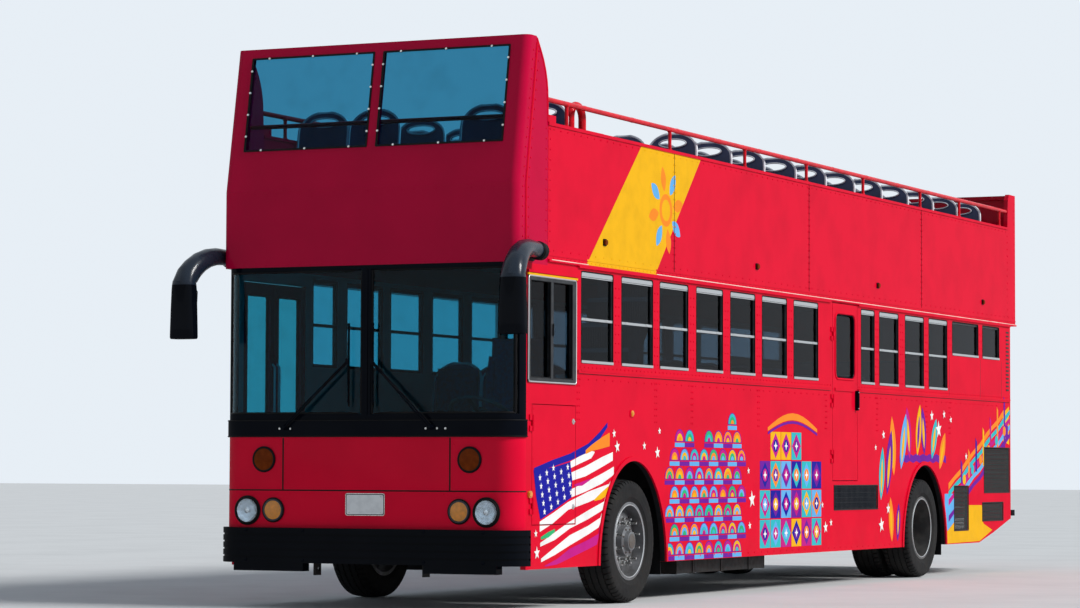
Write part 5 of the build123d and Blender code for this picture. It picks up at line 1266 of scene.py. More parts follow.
    def screens(self, shape: Shape, sign: int) -> None:
        """Wire screens, and fins in the long grille, each in a flat frame."""
        openings = MESHES + ((GRILLE,) if sign > 0 else ())
        for inner in openings:
            s0, s1, z0, z1 = inner
            shape.frame(rounded(grown(inner, 0.007), 0.006), rounded(inner, 0.006), -0.001, 0.005,
                lambda s, z, depth: (sign * (HALF_W + depth), at(s), z), 1)
            if inner is GRILLE:
                for k in range(1, int((s1 - s0) / self.fin_pitch)):
                    y = at(s0 + self.fin_pitch * k)
                    shape.box(*sorted_corners((sign * (HALF_W - 0.001), y - 0.0025, z0),
                        (sign * (HALF_W - 0.02), y + 0.0025, z1)), 2)
            else:
                self.wires(shape, sign, inner)

    def wires(self, shape: Shape, sign: int, box: tuple) -> None:
        """Crossing diagonal wires that fill one opening."""
        s0, s1, z0, z1 = box
        x, wide, tall = sign * (HALF_W - 0.005), s1 - s0, z1 - z0
        for k in range(1, int((s1 - s0 + z1 - z0) / self.wire_pitch)):
            d = k * self.wire_pitch
            ends = [(s0 + min(d, wide), z0 + max(0.0, d - wide)), (s0 + max(0.0, d - tall), z0 + min(d, tall))]
            shape.rod([(x, at(s), z) for s, z in ends], 0.0028, 4, mark=1)
            shape.rod([(x, at(s0 + s1 - s), z) for s, z in ends], 0.0028, 4, mark=1)


@dataclass
class FilmSheet:
    """Cut film on one side: outlines are cut at panel edges, arches and openings, and laid in layers."""

    side: Side
    gap: float = 0.0009
    layer: float = 0.00025
    thickness: float = 0.0007
    step: float = 0.03
    least: float = 0.0006
    narrow: float = 0.0004
    inks: list[Ink] = field(default_factory=lambda: list(Ink))
    shapes: dict[str, Shape] = field(default_factory=dict)

    def panels(self) -> list[tuple]:
        """Panels as (body, front, rear, bottom, top); the bus itself is what the others leave."""
        if self.side is Side.LEFT:
            return [("battery_door", *grown(HATCH, -0.007)), ("emergency_door", *grown(DOOR, -0.007))]
        return []

    def shut(self) -> list[tuple]:
        """Openings that no film covers, as (front, rear, bottom, top)."""
        holes = [grown(box, 0.009) for box in MESHES]
        if self.side is Side.LEFT:
            holes += [grown(HATCH, 0.003), grown(DOOR, 0.003), grown(GRILLE, 0.009)]
        return holes

    @staticmethod
    def arch_top(s: float) -> float:
        """Height of the arch lips over one station, or of the skirt."""
        best = 0.306 + max(0.0, (s - 10.85) * 0.2)
        for mid, high in ARCHES:
            share = abs(s - mid) / 0.674
            if share < 1:
                best = max(best, 0.303 + (high + 0.037) * sqrt(1 - share * share))
        return best

    def lay(self, outline: list[Flat], ink: Ink, level: int = 0, wall: float = HALF_W) -> None:
        """Lays one outline of film.

        Args:
            outline: corners as (station, height), in order.
            ink: its colour.
            level: its layer, counted out from the wall.
            wall: X of the wall that it lies on.
        """
        film = self.side.value * (wall + self.gap + level * self.layer), self.inks.index(ink)
        edges = list(zip(outline, outline[1:] + outline[:1]))
        cuts = {s for s, _ in outline}
        low, high = min(cuts), max(cuts)
        if wall <= HALF_W:
            cuts.update(v for box in self.shut() for v in box[:2] if low < v < high)
            steps = int((high - low) / self.step) + 1
            cuts.update(low + (high - low) * k / steps for k in range(steps + 1))
        ordered = sorted(cuts)
        for a, b in zip(ordered, ordered[1:]):
            if b - a < self.narrow:
                continue
            spans = []
            for (s0, z0), (s1, z1) in edges:
                if min(s0, s1) <= a + 1e-9 and max(s0, s1) >= b - 1e-9 and abs(s1 - s0) > 1e-9:
                    spans.append([z0 + (z1 - z0) * (v - s0) / (s1 - s0) for v in (a, b)])
            spans.sort(key=lambda pair: pair[0] + pair[1])
            for bottom, top in zip(spans[::2], spans[1::2]):
                if wall > HALF_W:
                    self.strip("bus", a, b, bottom, top, film)
                else:
                    self.fit(a, b, bottom, top, film)

    def fit(self, a: float, b: float, bottom: list, top: list, film: tuple) -> None:
        """Fits one strip to the panels and openings of the lower side, and lays what is left.

        Args:
            a: front station.
            b: rear station.
            bottom: heights of the lower edge at a and b.
            top: heights of the upper edge at a and b.
            film: X of the film and mark of its ink.
        """
        bottom = [max(z, self.arch_top(s)) for z, s in zip(bottom, (a, b))]
        mid = (a + b) / 2
        for body, s0, s1, z0, z1 in self.panels():
            if s0 <= mid <= s1:
                low, high = ([min(max(z, z0), z1) for z in edge] for edge in (bottom, top))
                self.strip(body, a, b, low, high, film)
        free = [(bottom, top)]
        for s0, s1, z0, z1 in self.shut():
            if s0 <= mid <= s1:
                free = [span for low, high in free for span in ((low, [min(z, z0) for z in high]),
                    ([max(z, z1) for z in low], high))]
        for low, high in free:
            self.strip("bus", a, b, low, high, film)

    def strip(self, body: str, a: float, b: float, low: list, high: list, film: tuple) -> None:
        """Adds one four-cornered strip to the sheet of its body, unless nothing of it is left."""
        if high[0] - low[0] < self.least and high[1] - low[1] < self.least:
            return
        high = [max(h, v) for h, v in zip(high, low)]
        shape = self.shapes.setdefault(body, Shape())
        start, (x, mark) = len(shape.verts), film
        corners = [(a, low[0]), (b, low[1]), (b, high[1]), (a, high[0])]
        shape.verts.extend(Vector((x, at(s), z)) for s, z in corners)
        face = (start, start + 1, start + 2, start + 3)
        shape.faces.append(face if self.side is Side.LEFT else face[::-1])
        shape.marks.append(mark)

    def pieces(self, name: str) -> list[Piece]:
        """Makes one piece for each body that film lies on."""
        films = [ink.finish() for ink in self.inks]
        return [shape.piece(f"{name}_{body}", films, body, sheet=self.thickness) for body,
            shape in self.shapes.items()]


def star(s: float, z: float, radius: float, turn: float = 0.0, points: int = 5) -> list[Flat]:
    """Outline of a star."""
    out = []
    for k in range(points * 2):
        t = radians(turn + 90) + pi * k / points
        r = radius if k % 2 == 0 else radius * 0.42
        out.append((s + r * cos(t), z + r * sin(t)))
    return out


def leaf(s: float, z: float, length: float, width: float, turn: float) -> list[Flat]:
    """Outline of a pointed leaf from its stalk."""
    t = radians(turn)
    out = []
    for k in range(13):
        out.append((length * k / 12, width * sin(pi * k / 12) ** 0.8))
    out += [(a, -b) for a, b in reversed(out[1:-1])]
    return [(s + a * cos(t) - b * sin(t), z + a * sin(t) + b * cos(t)) for a, b in out]


def swath(points: list[tuple] | tuple) -> list[Flat]:
    """Outline of a band from (station, lower, upper) rows."""
    return [(s, low) for s, low, _ in points] + [(s, high) for s, _, high in reversed(points)]


@dataclass
class Livery:
    """The coloured film on the sides: a yellow swath, waved stripes with stars, and bright plain motifs."""

    seed: int = 7
    waves: tuple = ((Ink.BLUE, ((0.3, 1.005, 1.035), (0.62, 1.045, 1.095), (0.92, 1.09, 1.142), (1.25, 1.156, 1.22),
        (1.45, 1.25, 1.305), (1.6, 1.347, 1.383))), (Ink.ORANGE,
        ((1.2, 1.14, 1.17), (1.32, 1.165, 1.215), (1.5, 1.185, 1.27), (1.64, 1.203, 1.306))),
        (Ink.WHITE, ((0.93, 1.035, 1.085), (1.1, 1.07, 1.125), (1.3, 1.11, 1.165), (1.36, 1.15, 1.16))),
        (Ink.WHITE, ((0.93, 0.94, 1.0), (1.2, 0.975, 1.05), (1.5, 1.045, 1.12), (1.7, 1.095, 1.159))),
        (Ink.WHITE, ((0.95, 0.82, 0.88), (1.2, 0.86, 0.93), (1.5, 0.92, 0.995), (1.72, 0.986, 1.048))),
        (Ink.WHITE, ((0.4, 0.572, 0.646), (0.62, 0.63, 0.705), (0.89, 0.727, 0.785), (1.25, 0.78, 0.86),
        (1.69, 0.862, 0.926))), (Ink.WHITE, ((0.41, 0.465, 0.492), (0.66, 0.51, 0.565), (0.92, 0.589, 0.64),
        (1.25, 0.655, 0.72), (1.6, 0.74, 0.798))), (Ink.WHITE,
        ((0.425, 0.352, 0.378), (0.66, 0.4, 0.455), (0.92, 0.464, 0.54), (1.25, 0.54, 0.605), (1.5, 0.606, 0.67))),
        (Ink.MAGENTA, ((0.49, 0.318, 0.326), (0.7, 0.33, 0.37), (0.92, 0.37, 0.44), (1.25, 0.43, 0.5),
        (1.5, 0.48, 0.555))), (Ink.MAGENTA, ((1.0, 0.9, 0.915), (1.14, 0.905, 0.935), (1.28, 0.945, 0.955))),
        (Ink.GREEN, ((0.42, 0.515, 0.535), (0.55, 0.53, 0.57), (0.66, 0.568, 0.59))),
        (Ink.YELLOW, ((1.36, 0.79, 0.8), (1.48, 0.8, 0.85), (1.62, 0.835, 0.9))))
    canton: tuple = ((0.291, 1.02), (0.335, 0.83), (0.409, 0.66), (0.67, 0.735), (0.945, 0.818), (0.96, 0.95),
        (0.925, 1.08), (0.62, 1.04))
    stars: tuple = ((0.35, 0.42, 0.05), (0.33, 0.56, 0.03), (1.72, 1.3, 0.035), (1.78, 1.2, 0.05), (2.3, 1.21, 0.035),
        (2.56, 1.16, 0.05), (2.6, 1.33, 0.03), (4.58, 0.78, 0.075), (4.53, 0.56, 0.035), (4.5, 1.02, 0.03),
        (6.36, 0.52, 0.055), (6.5, 0.56, 0.035), (6.28, 0.72, 0.03), (7.86, 0.52, 0.075), (8.05, 0.67, 0.055),
        (7.92, 1.36, 0.045), (7.7, 1.24, 0.03), (9.34, 1.56, 0.055), (9.55, 1.43, 0.09), (9.72, 1.58, 0.045),
        (9.93, 1.53, 0.04), (10.42, 1.17, 0.04))
    fan_rows: tuple = (6, 7, 7, 6, 7, 7, 8, 7)
    fan_pitch: tuple = (0.205, 0.15)
    fan_half: float = 0.1
    quilt_rows: tuple = (3, 4, 4, 4, 3, 3)
    leaf_rows: tuple = ((7.85, 0.75, 0.5, 0.075, 84, Ink.TURQUOISE), (8.02, 0.8, 0.62, 0.09, 78, Ink.PURPLE),
        (8.22, 0.98, 0.56, 0.085, 96, Ink.ORANGE), (8.42, 1.04, 0.55, 0.085, 74, Ink.SKY),
        (8.68, 1.14, 0.5, 0.085, 100, Ink.MAGENTA), (8.9, 1.17, 0.5, 0.08, 80, Ink.YELLOW),
        (9.12, 1.18, 0.46, 0.085, 98, Ink.PURPLE), (9.34, 1.14, 0.42, 0.08, 70, Ink.TURQUOISE),
        (9.58, 1.04, 0.4, 0.075, 64, Ink.ORANGE), (8.16, 0.36, 0.42, 0.07, 96, Ink.ORANGE),
        (8.32, 0.36, 0.36, 0.06, 84, Ink.PURPLE))
    ramps: tuple = ((0.0, Ink.PURPLE), (0.085, Ink.SKY), (0.16, Ink.MAGENTA), (0.24, Ink.TURQUOISE),
        (0.32, Ink.ORANGE))
    towers: tuple = (Ink.PURPLE, Ink.ORANGE, Ink.BLUE, Ink.YELLOW, Ink.MAGENTA, Ink.ORANGE, Ink.PURPLE)

    def build(self) -> list[Piece]:
        """Cuts and lays all the film, as one piece for each side and body."""
        made = []
        for side in Side:
            sheet = FilmSheet(side)
            (low0, low1, base), (high0, high1, top) = SWATH
            sheet.lay([(low0, base), (low1, base), (high1, top), (high0, top)], Ink.YELLOW, 0, UP_OUT)
            self.sunwheel(sheet, 2.72, 3.08)
            if side is Side.LEFT:
                self.stripes(sheet)
            self.fans(sheet)
            self.quilt(sheet)
            self.leaves(sheet)
            self.steps(sheet)
            for s, z, r in self.stars:
                if side is Side.LEFT or s > 1.3:
                    sheet.lay(star(s, z, r, turn=11 * (s % 1.0)), Ink.WHITE, 9)
            made += sheet.pieces(f"film_{side.word}")
        return made

    def sunwheel(self, sheet: FilmSheet, s: float, z: float) -> None:
        """A plain wheel of eight leaves round a ring on the upper side."""
        for k in range(8):
            t = 45 * k + 12
            foot = (s + 0.15 * cos(radians(t)), z + 0.15 * sin(radians(t)))
            sheet.lay(leaf(*foot, 0.2, 0.05, t), Ink.SKY if k % 2 else Ink.ORANGE, 1, UP_OUT)
        sheet.lay(arc((s, z), 0.13, 0, 348, 29), Ink.ORANGE, 2, UP_OUT)
        sheet.lay(arc((s, z), 0.085, 0, 348, 29), Ink.YELLOW, 3, UP_OUT)

    def stripes(self, sheet: FilmSheet) -> None:
        """The waved stripes behind the front corner with a starred blue field."""
        for ink, rows in self.waves:
            sheet.lay(swath(rows), ink, {Ink.BLUE: 0, Ink.WHITE: 1}.get(ink, 2))
        sheet.lay(list(self.canton), Ink.BLUE, 3)
        for row in range(5):
            for column in range(5):
                s = 0.4 + 0.115 * column + 0.02 * row
                z = 0.965 - 0.062 * row + 0.035 * column
                if 0.68 + 0.28 * (s - 0.41) < z < 1.0 + 0.15 * (s - 0.3):
                    sheet.lay(star(s, z, 0.027), Ink.WHITE, 4)

    def fans(self, sheet: FilmSheet) -> None:
        """Rows of concentric fans, as on a scalloped quilt, ahead of the middle."""
        chance = random.Random(self.seed)
        bright = [Ink.ORANGE, Ink.YELLOW, Ink.TURQUOISE, Ink.MAGENTA, Ink.SKY, Ink.GREEN]
        for column, many in enumerate(self.fan_rows):
            s = 2.86 + self.fan_pitch[0] * column
            for row in range(many):
                z = 0.35 + self.fan_pitch[1] * row
                base = s + (0.05 if row % 2 else -0.05)
                sheet.lay(arc((base, z), self.fan_half, 0, 180, 12), Ink.PURPLE, 0)
                for k, ink in enumerate(chance.sample(bright, 3)):
                    sheet.lay(arc((base, z + 0.006), 0.086 - 0.026 * k, 0, 180, 10), ink, 1 + k)
                sheet.lay(oblong(base - self.fan_half, base + self.fan_half, z - 0.042, z - 0.008), Ink.SKY
                    if (row + column) % 2 else Ink.PURPLE, 1)

    def quilt(self, sheet: FilmSheet) -> None:
        """A patchwork of diamonds and discs with a curved top."""
        chance = random.Random(self.seed + 4)
        bright = [Ink.YELLOW, Ink.PURPLE, Ink.ORANGE, Ink.TURQUOISE, Ink.MAGENTA, Ink.SKY, Ink.BLUE]
        cell, pad = 0.25, 0.006
        mid = cell / 2
        for column, height in enumerate(self.quilt_rows):
            for row in range(height):
                s0, z0 = 4.76 + cell * column, 0.36 + cell * row
                back, front, dot = chance.sample(bright, 3)
                sheet.lay(oblong(s0 + pad, s0 + cell - pad, z0 + pad, z0 + cell - pad), back, 0)
                sheet.lay([(s0 + mid, z0 + 0.016), (s0 + cell - 0.016, z0 + mid), (s0 + mid, z0 + cell - 0.016),
                    (s0 + 0.016, z0 + mid)], front, 1)
                sheet.lay(arc((s0 + mid, z0 + mid), 0.055, 0, 340, 17), dot, 2)
                sheet.lay(star(s0 + mid, z0 + mid, 0.04, 0, 4), Ink.WHITE, 3)
        bow = [(4.95 + 0.12 * k, sin(pi * k / 10)) for k in range(11)]
        cap = [(s, 1.36 + 0.1 * rise, 1.39 + 0.13 * rise) for s, rise in bow]
        sheet.lay(swath(cap), Ink.ORANGE, 1)
        sheet.lay(swath([(s, low - 0.03, low - 0.008) for s, low, _ in cap]), Ink.PURPLE, 4)

    def leaves(self, sheet: FilmSheet) -> None:
        """Broad leaves that stand ahead of the rear arch and over it."""
        for index, (s, z, length, width, turn, ink) in enumerate(self.leaf_rows):
            level = 1 + 2 * (index % 2)
            sheet.lay(leaf(s, z, length, width, turn), ink, level)
            t = radians(turn)
            sheet.lay(leaf(s + 0.06 * cos(t), z + 0.06 * sin(t), length * 0.66, width * 0.38, turn), Ink.YELLOW
                if ink is not Ink.YELLOW else Ink.PURPLE, level + 1)
        hem = [(8.38 + 0.1 * k, 1.1 + 0.02 * (k % 2), 1.17 + 0.02 * (k % 2)) for k in range(15)]
        sheet.lay(swath(hem), Ink.PURPLE, 0)

    def steps(self, sheet: FilmSheet) -> None:
        """Bands that rise to the rear corner over a low yellow patch."""
        sheet.lay([(9.78, 0.31), (10.86, 0.317), (11.29, 0.423), (10.995, 0.49), (10.94, 0.68), (10.47, 0.683),
            (9.78, 0.416)], Ink.YELLOW, 0)
        sheet.lay([(9.74, 0.42), (9.78, 0.42), (10.03, 0.517), (10.03, 0.8), (9.74, 0.8)], Ink.SKY, 0)
        for rise, ink in self.ramps:
            rows = [(9.86 + 0.205 * k, 0.52 + rise + 0.085 * k + 0.012 * sin(2.1 * k),
                0.52 + rise + 0.055 + 0.085 * k + 0.012 * sin(2.1 * k + 0.8)) for k in range(11)]
            sheet.lay(swath([r for r in rows if r[2] < 1.72]), ink, 1)
        for k, ink in enumerate(self.towers):
            s, foot, top = 10.25 + 0.24 * k, 0.9 + 0.06 * k, 1.0 + 0.11 * k
            sheet.lay([(s, foot), (s + 0.05, foot), (s + 0.05, top + 0.1), (s, top + 0.14)], ink, 3)
        for k in range(6):
            sheet.lay(arc((10.36 + 0.27 * k, 0.94 + 0.1 * k), 0.05, 0, 340, 17),
                (Ink.YELLOW, Ink.TURQUOISE, Ink.ORANGE)[k % 3], 5)
        sheet.lay([(11.66, 1.34), (11.88, 1.3), (11.88, 1.7), (11.66, 1.62)], Ink.YELLOW, 0)
        sheet.lay([(11.7, 1.38), (11.84, 1.36), (11.84, 1.5), (11.7, 1.5)], Ink.PURPLE, 2)


class SeatKind(Enum):
    """How a bench is finished."""

    MOULDED = "bare shells with a hand hole"
    CUSHIONED = "shells with cloth pads"


@dataclass
class MouldedShell:
    """One moulded seat shell, its front edge at station 0 and its foot at height 0."""

    width: float = 0.436
    wall: float = 0.013
    shoulder_z: float = 0.83
    shoulder: float = 0.157
    profile: tuple = ((-0.004, 0.405), (-0.005, 0.43), (0.006, 0.45), (0.032, 0.459), (0.1, 0.453), (0.2, 0.442),
        (0.3, 0.433), (0.362, 0.432), (0.396, 0.442), (0.409, 0.47), (0.419, 0.54), (0.433, 0.64), (0.447, 0.74),
        (0.458, 0.82), (0.463, 0.857), (0.468, 0.893), (0.472, 0.92), (0.4745, 0.938), (0.4765, 0.953),
        (0.479, 0.967), (0.481, 0.976), (0.483, 0.981))

    def row(self, index: int, columns: int = 10) -> list[list[tuple]]:
        """The seating side and the rear side of the shell at one step of its profile.

        Args:
            index: step of the profile.
            columns: strips across the seat.

        Returns:
            Two rows of points.
        """
        s, z = self.profile[index]
        ahead = self.profile[min(index + 1, len(self.profile) - 1)]
        back = self.profile[max(index - 1, 0)]
        along = Vector((0, ahead[0] - back[0], ahead[1] - back[1])).normalized()
        normal = Vector((0, -along.z, along.y))
        half = self.width / 2
        if z > self.shoulder_z:
            share = (z - self.shoulder_z) / self.shoulder
            half *= sqrt(1 - share * share)
        front, rear = [], []
        for k in range(columns + 1):
            v = -1 + 2 * k / columns
            rise = 0.018 * abs(v) ** 3 if 2 <= index <= 14 else 0.006 * abs(v) ** 3
            point = Vector((half * v, s, z)) + normal * (rise - 0.004)
            front.append(tuple(point))
            rear.append(tuple(point - normal * self.wall))
        return [front, rear]

    def middle(self, index: int) -> list[tuple]:
        """Points halfway through the shell's thickness at one step of its profile."""
        return [tuple((Vector(a) + Vector(b)) / 2) for a, b in zip(*self.row(index))]

    def solid(self, grip: bool) -> bpy.types.Mesh:
        """The shell as a closed mesh, with its hand hole cut through if it has one."""
        shape = Shape()
        rows = []
        for index in range(len(self.profile)):
            front, rear = self.row(index)
            rows.append(front + rear[::-1])
        shape.skin(rows, closed=True, caps=True)
        made = shape.piece("shell_pattern", [Paint.SHELL], "bus")
        if grip:
            tool = Shape()
            loop = [(0.12 * cos(t), 0.9 + 0.034 * sin(t)) for t in turns(28)]
            tool.skin([[(x, y, z) for x, z in loop] for y in (0.38, 0.56)], closed=True, caps=True)
            cutter = tool.piece("grip_cutter", [Paint.SHELL], "bus")
            cut = made.modifiers.new("grip", "BOOLEAN")
            cut.operation, cut.object, cut.solver = "DIFFERENCE", cutter, "EXACT"
            bpy.context.view_layer.update()
            held = made.evaluated_get(bpy.context.evaluated_depsgraph_get())
            mesh = bpy.data.meshes.new_from_object(held)
            bpy.data.objects.remove(cutter)
        else:
            mesh = made.data.copy()
        bpy.data.objects.remove(made)
        return mesh

    def rim(self) -> list[tuple]:
        """Centreline of the pale rim: up one edge, over the top and down the other."""
        rows = [self.middle(index) for index in range(len(self.profile))]
        return [row[0] for row in rows[2:]] + rows[-1][1:-1] + [row[-1] for row in rows[:1:-1]]


@dataclass
class Benches:
    """All the benches of one deck."""

    kind: SeatKind
    foot: float
    left_rows: tuple
    right_rows: tuple
    bench_x: float = 0.706
    seat_x: float = 0.224

    def places(self) -> list[Vector]:
        """Foot points of every single shell."""
        made = []
        for sign, rows in ((1, self.left_rows), (-1, self.right_rows)):
            for s in rows:
                for shift in (-self.seat_x, self.seat_x):
                    made.append(Vector((sign * self.bench_x + shift, at(s), self.foot)))
        return made

    def build(self, name: str) -> list[Piece]:
        """Builds the shells, rims, frames and pads.

        Args:
            name: first word of the pieces' names.

        Returns:
            The pieces.
        """
        pattern = MouldedShell().solid(self.kind is SeatKind.MOULDED)
        verts = [v.co.copy() for v in pattern.vertices]
        faces = [tuple(p.vertices) for p in pattern.polygons]
        edge = MouldedShell().rim()
        shells, rim, frames = Shape(), Shape(), Shape()
        for place in self.places():
            start = len(shells.verts)
            shells.verts.extend(v + place for v in verts)
            shells.faces.extend(tuple(start + k for k in face) for face in faces)
            shells.marks.extend(0 for _ in faces)
            rim.rod([Vector(p) + place for p in edge], 0.012, 6)
            if self.kind is SeatKind.MOULDED:
                grip = [Vector((0.121 * cos(t), 0.4625 + 0.16 * 0.035 * sin(t), 0.9 + 0.035 * sin(t))) + place
                    for t in turns(24)]
                rim.rod(grip, 0.006, 6, closed=True)
        for sign, rows in ((1, self.left_rows), (-1, self.right_rows)):
            for s in rows:
                self.frame(frames, Vector((sign * self.bench_x, at(s), self.foot)))
        bpy.data.meshes.remove(pattern)
        return [shells.piece(f"{name}_shells", [Paint.SHELL], "bus", "seat_shell", crease=50),
            rim.piece(f"{name}_rims", [Paint.SHELL_RIM], "bus"),
            frames.piece(f"{name}_frames", [Paint.CHASSIS, Paint.STEEL], "bus")]

    def frame(self, shape: Shape, place: Vector) -> None:
        """Pedestals, foot plates and cross tubes of one bench."""
        for x in (-0.22, 0.22):
            for s in (0.17, 0.29):
                shape.rod([place + Vector((x, s, 0.004)), place + Vector((x, s, 0.405))], 0.016, 8)
            shape.box(tuple(place + Vector((x - 0.045, 0.12, 0.0))), tuple(place + Vector((x + 0.045, 0.34, 0.008))))
            for s in (0.14, 0.32):
                shape.nut(place + Vector((x, s, 0.008)), Vector(UP), 0.008, 0.01, 1)
            shape.rod([place + Vector((x, 0.03, 0.41)), place + Vector((x, 0.385, 0.405))], 0.014, 8)
        for s in (0.09, 0.35):
            shape.rod([place + Vector((-0.4, s, 0.412)), place + Vector((0.4, s, 0.412))], 0.013, 8)


@dataclass
class Pad:
    """One stuffed pad: crowned, pulled in between its corners, with sewn channels across it."""

    centre: tuple
    half: tuple
    lean: float = 0.0
    channels: tuple = (-0.34, 0.34)
    channel_depth: float = 0.28
    channel_width: float = 0.07
    steps: int = 14

    def add(self, cloth: Shape, piping: Shape) -> None:
        """Adds the pad and the piping round its seam.

        Args:
            cloth: what gathers the pads.
            piping: what gathers the seams.
        """
        a, b, c = self.half
        turn = Matrix.Rotation(self.lean, 4, "X")
        centre = Vector(self.centre)
        grids, grid = [], [sin(pi / 2 * (-1 + 2 * k / self.steps)) for k in range(self.steps + 1)]
        for face in (1, -1):
            rows = []
            for u in grid:
                row = []
                for v in grid:
                    x = u * a * (1 - 0.025 * (1 - v * v) * abs(u) ** 3)
                    y = v * b * (1 - 0.035 * (1 - u * u) * abs(v) ** 3)
                    edge = (max(0.0, 1 - u ** 8) * max(0.0, 1 - v ** 8)) ** 0.5
                    crown = 0.62 + 0.38 * (1 - u * u) * (1 - v * v)
                    z = c * edge * (crown if face > 0 else 0.75)
                    for line in self.channels if face > 0 else ():
                        z -= c * self.channel_depth * edge * exp(-((v - line) / self.channel_width) ** 2)
                    row.append(tuple(centre + turn @ Vector((x, y, face * z))))
                rows.append(row)
            grids.append(rows)
        for rows in grids:
            cloth.skin(rows)
        n = self.steps
        rim = [grids[0][i][0] for i in range(n)] + [grids[0][n][j] for j in range(n)]
        rim += [grids[0][n - i][n] for i in range(n)] + [grids[0][0][n - j] for j in range(n)]
        piping.rod(rim, 0.0045, 5, closed=True)


@dataclass
class LowerCushions:
    """The cloth pads of the lower deck, the raised and rear benches and the driver's seat."""

    benches: Benches
    raised: tuple = (8.56, 9.24)
    raised_z: float = 1.12
    rear_z: float = 1.42

    def build(self) -> list[Piece]:
        """Builds every pad of the lower deck."""
        seats, rests, piping, boxes = Shape(), Shape(), Shape(), Shape()
        for place in self.benches.places():
            Pad(tuple(place + Vector((0, 0.2, 0.462))), (0.2, 0.185, 0.026)).add(seats, piping)
            Pad(tuple(place + Vector((0, 0.43, 0.71))), (0.19, 0.225, 0.024), radians(82)).add(rests, piping)
        for sign in (1, -1):
            for s in self.raised:
                for x in (0.455, 0.905):
                    rest = Pad((sign * x, at(s + 0.462), self.raised_z + 0.48), (0.222, 0.25, 0.035), radians(86))
                    Pad((sign * x, at(s + 0.215), self.raised_z + 0.17), (0.222, 0.212, 0.055)).add(seats, piping)
                    rest.add(rests, piping)
                boxes.box((sign * 0.68 - 0.445, at(s + 0.02), 1.121), (sign * 0.68 + 0.445, at(s + 0.425), 1.245))
                boxes.box((sign * 0.68 - 0.445, at(s + 0.478), 1.121), (sign * 0.68 + 0.445, at(s + 0.5), 1.85))
                low, high = sorted((sign * 0.235, sign * 0.56))
                boxes.box((low, at(s + 0.06), 0.931), (high, at(s + 0.4), 1.13))
        for k in range(5):
            x = -0.92 + 0.46 * k
            Pad((x, at(11.29), self.rear_z + 0.185), (0.225, 0.185, 0.052)).add(seats, piping)
            Pad((x, at(11.518), self.rear_z + 0.48), (0.225, 0.26, 0.022), radians(90)).add(rests, piping)
        boxes.box((-1.148, at(11.105), 1.421), (1.148, at(11.495), 1.56))
        boxes.box((-1.148, at(11.535), 1.421), (1.148, at(11.558), 2.178))
        self.driver(seats, rests, piping, boxes)
        cloth = seats.piece("lower_seat_pads", [Paint.CLOTH], "bus", "seat_fabric", crease=70)
        backs = rests.piece("lower_back_pads", [Paint.CLOTH], "bus", "seat_fabric", crease=70)
        return [cloth, backs, piping.piece("pad_piping", [Paint.PIPING], "bus"),
            boxes.piece("bench_boxes", [Paint.SHELL], "bus", bevel=0.008)]

    def driver(self, seats: Shape, rests: Shape, piping: Shape, boxes: Shape) -> None:
        """The driver's seat: pad, tall rest with bolsters, pedestal and slides."""
        Pad((0.68, at(0.9), 1.405), (0.235, 0.19, 0.045)).add(seats, piping)
        Pad((0.68, at(1.145), 1.72), (0.225, 0.3, 0.04), radians(83)).add(rests, piping)
        for x in (0.47, 0.89):
            Pad((x, at(1.125), 1.66), (0.03, 0.22, 0.045), radians(83), ()).add(rests, piping)
        boxes.box((0.45, at(0.72), 1.345), (0.91, at(1.09), 1.375))
        boxes.box((0.56, at(0.82), 0.931), (0.8, at(1.04), 1.25))
        for k in range(5):
            fold, z = 0.012 * (k % 2), 0.019 * k
            boxes.box((0.57 - fold, at(0.83), 1.25 + z), (0.79 + fold, at(1.03), 1.266 + z))


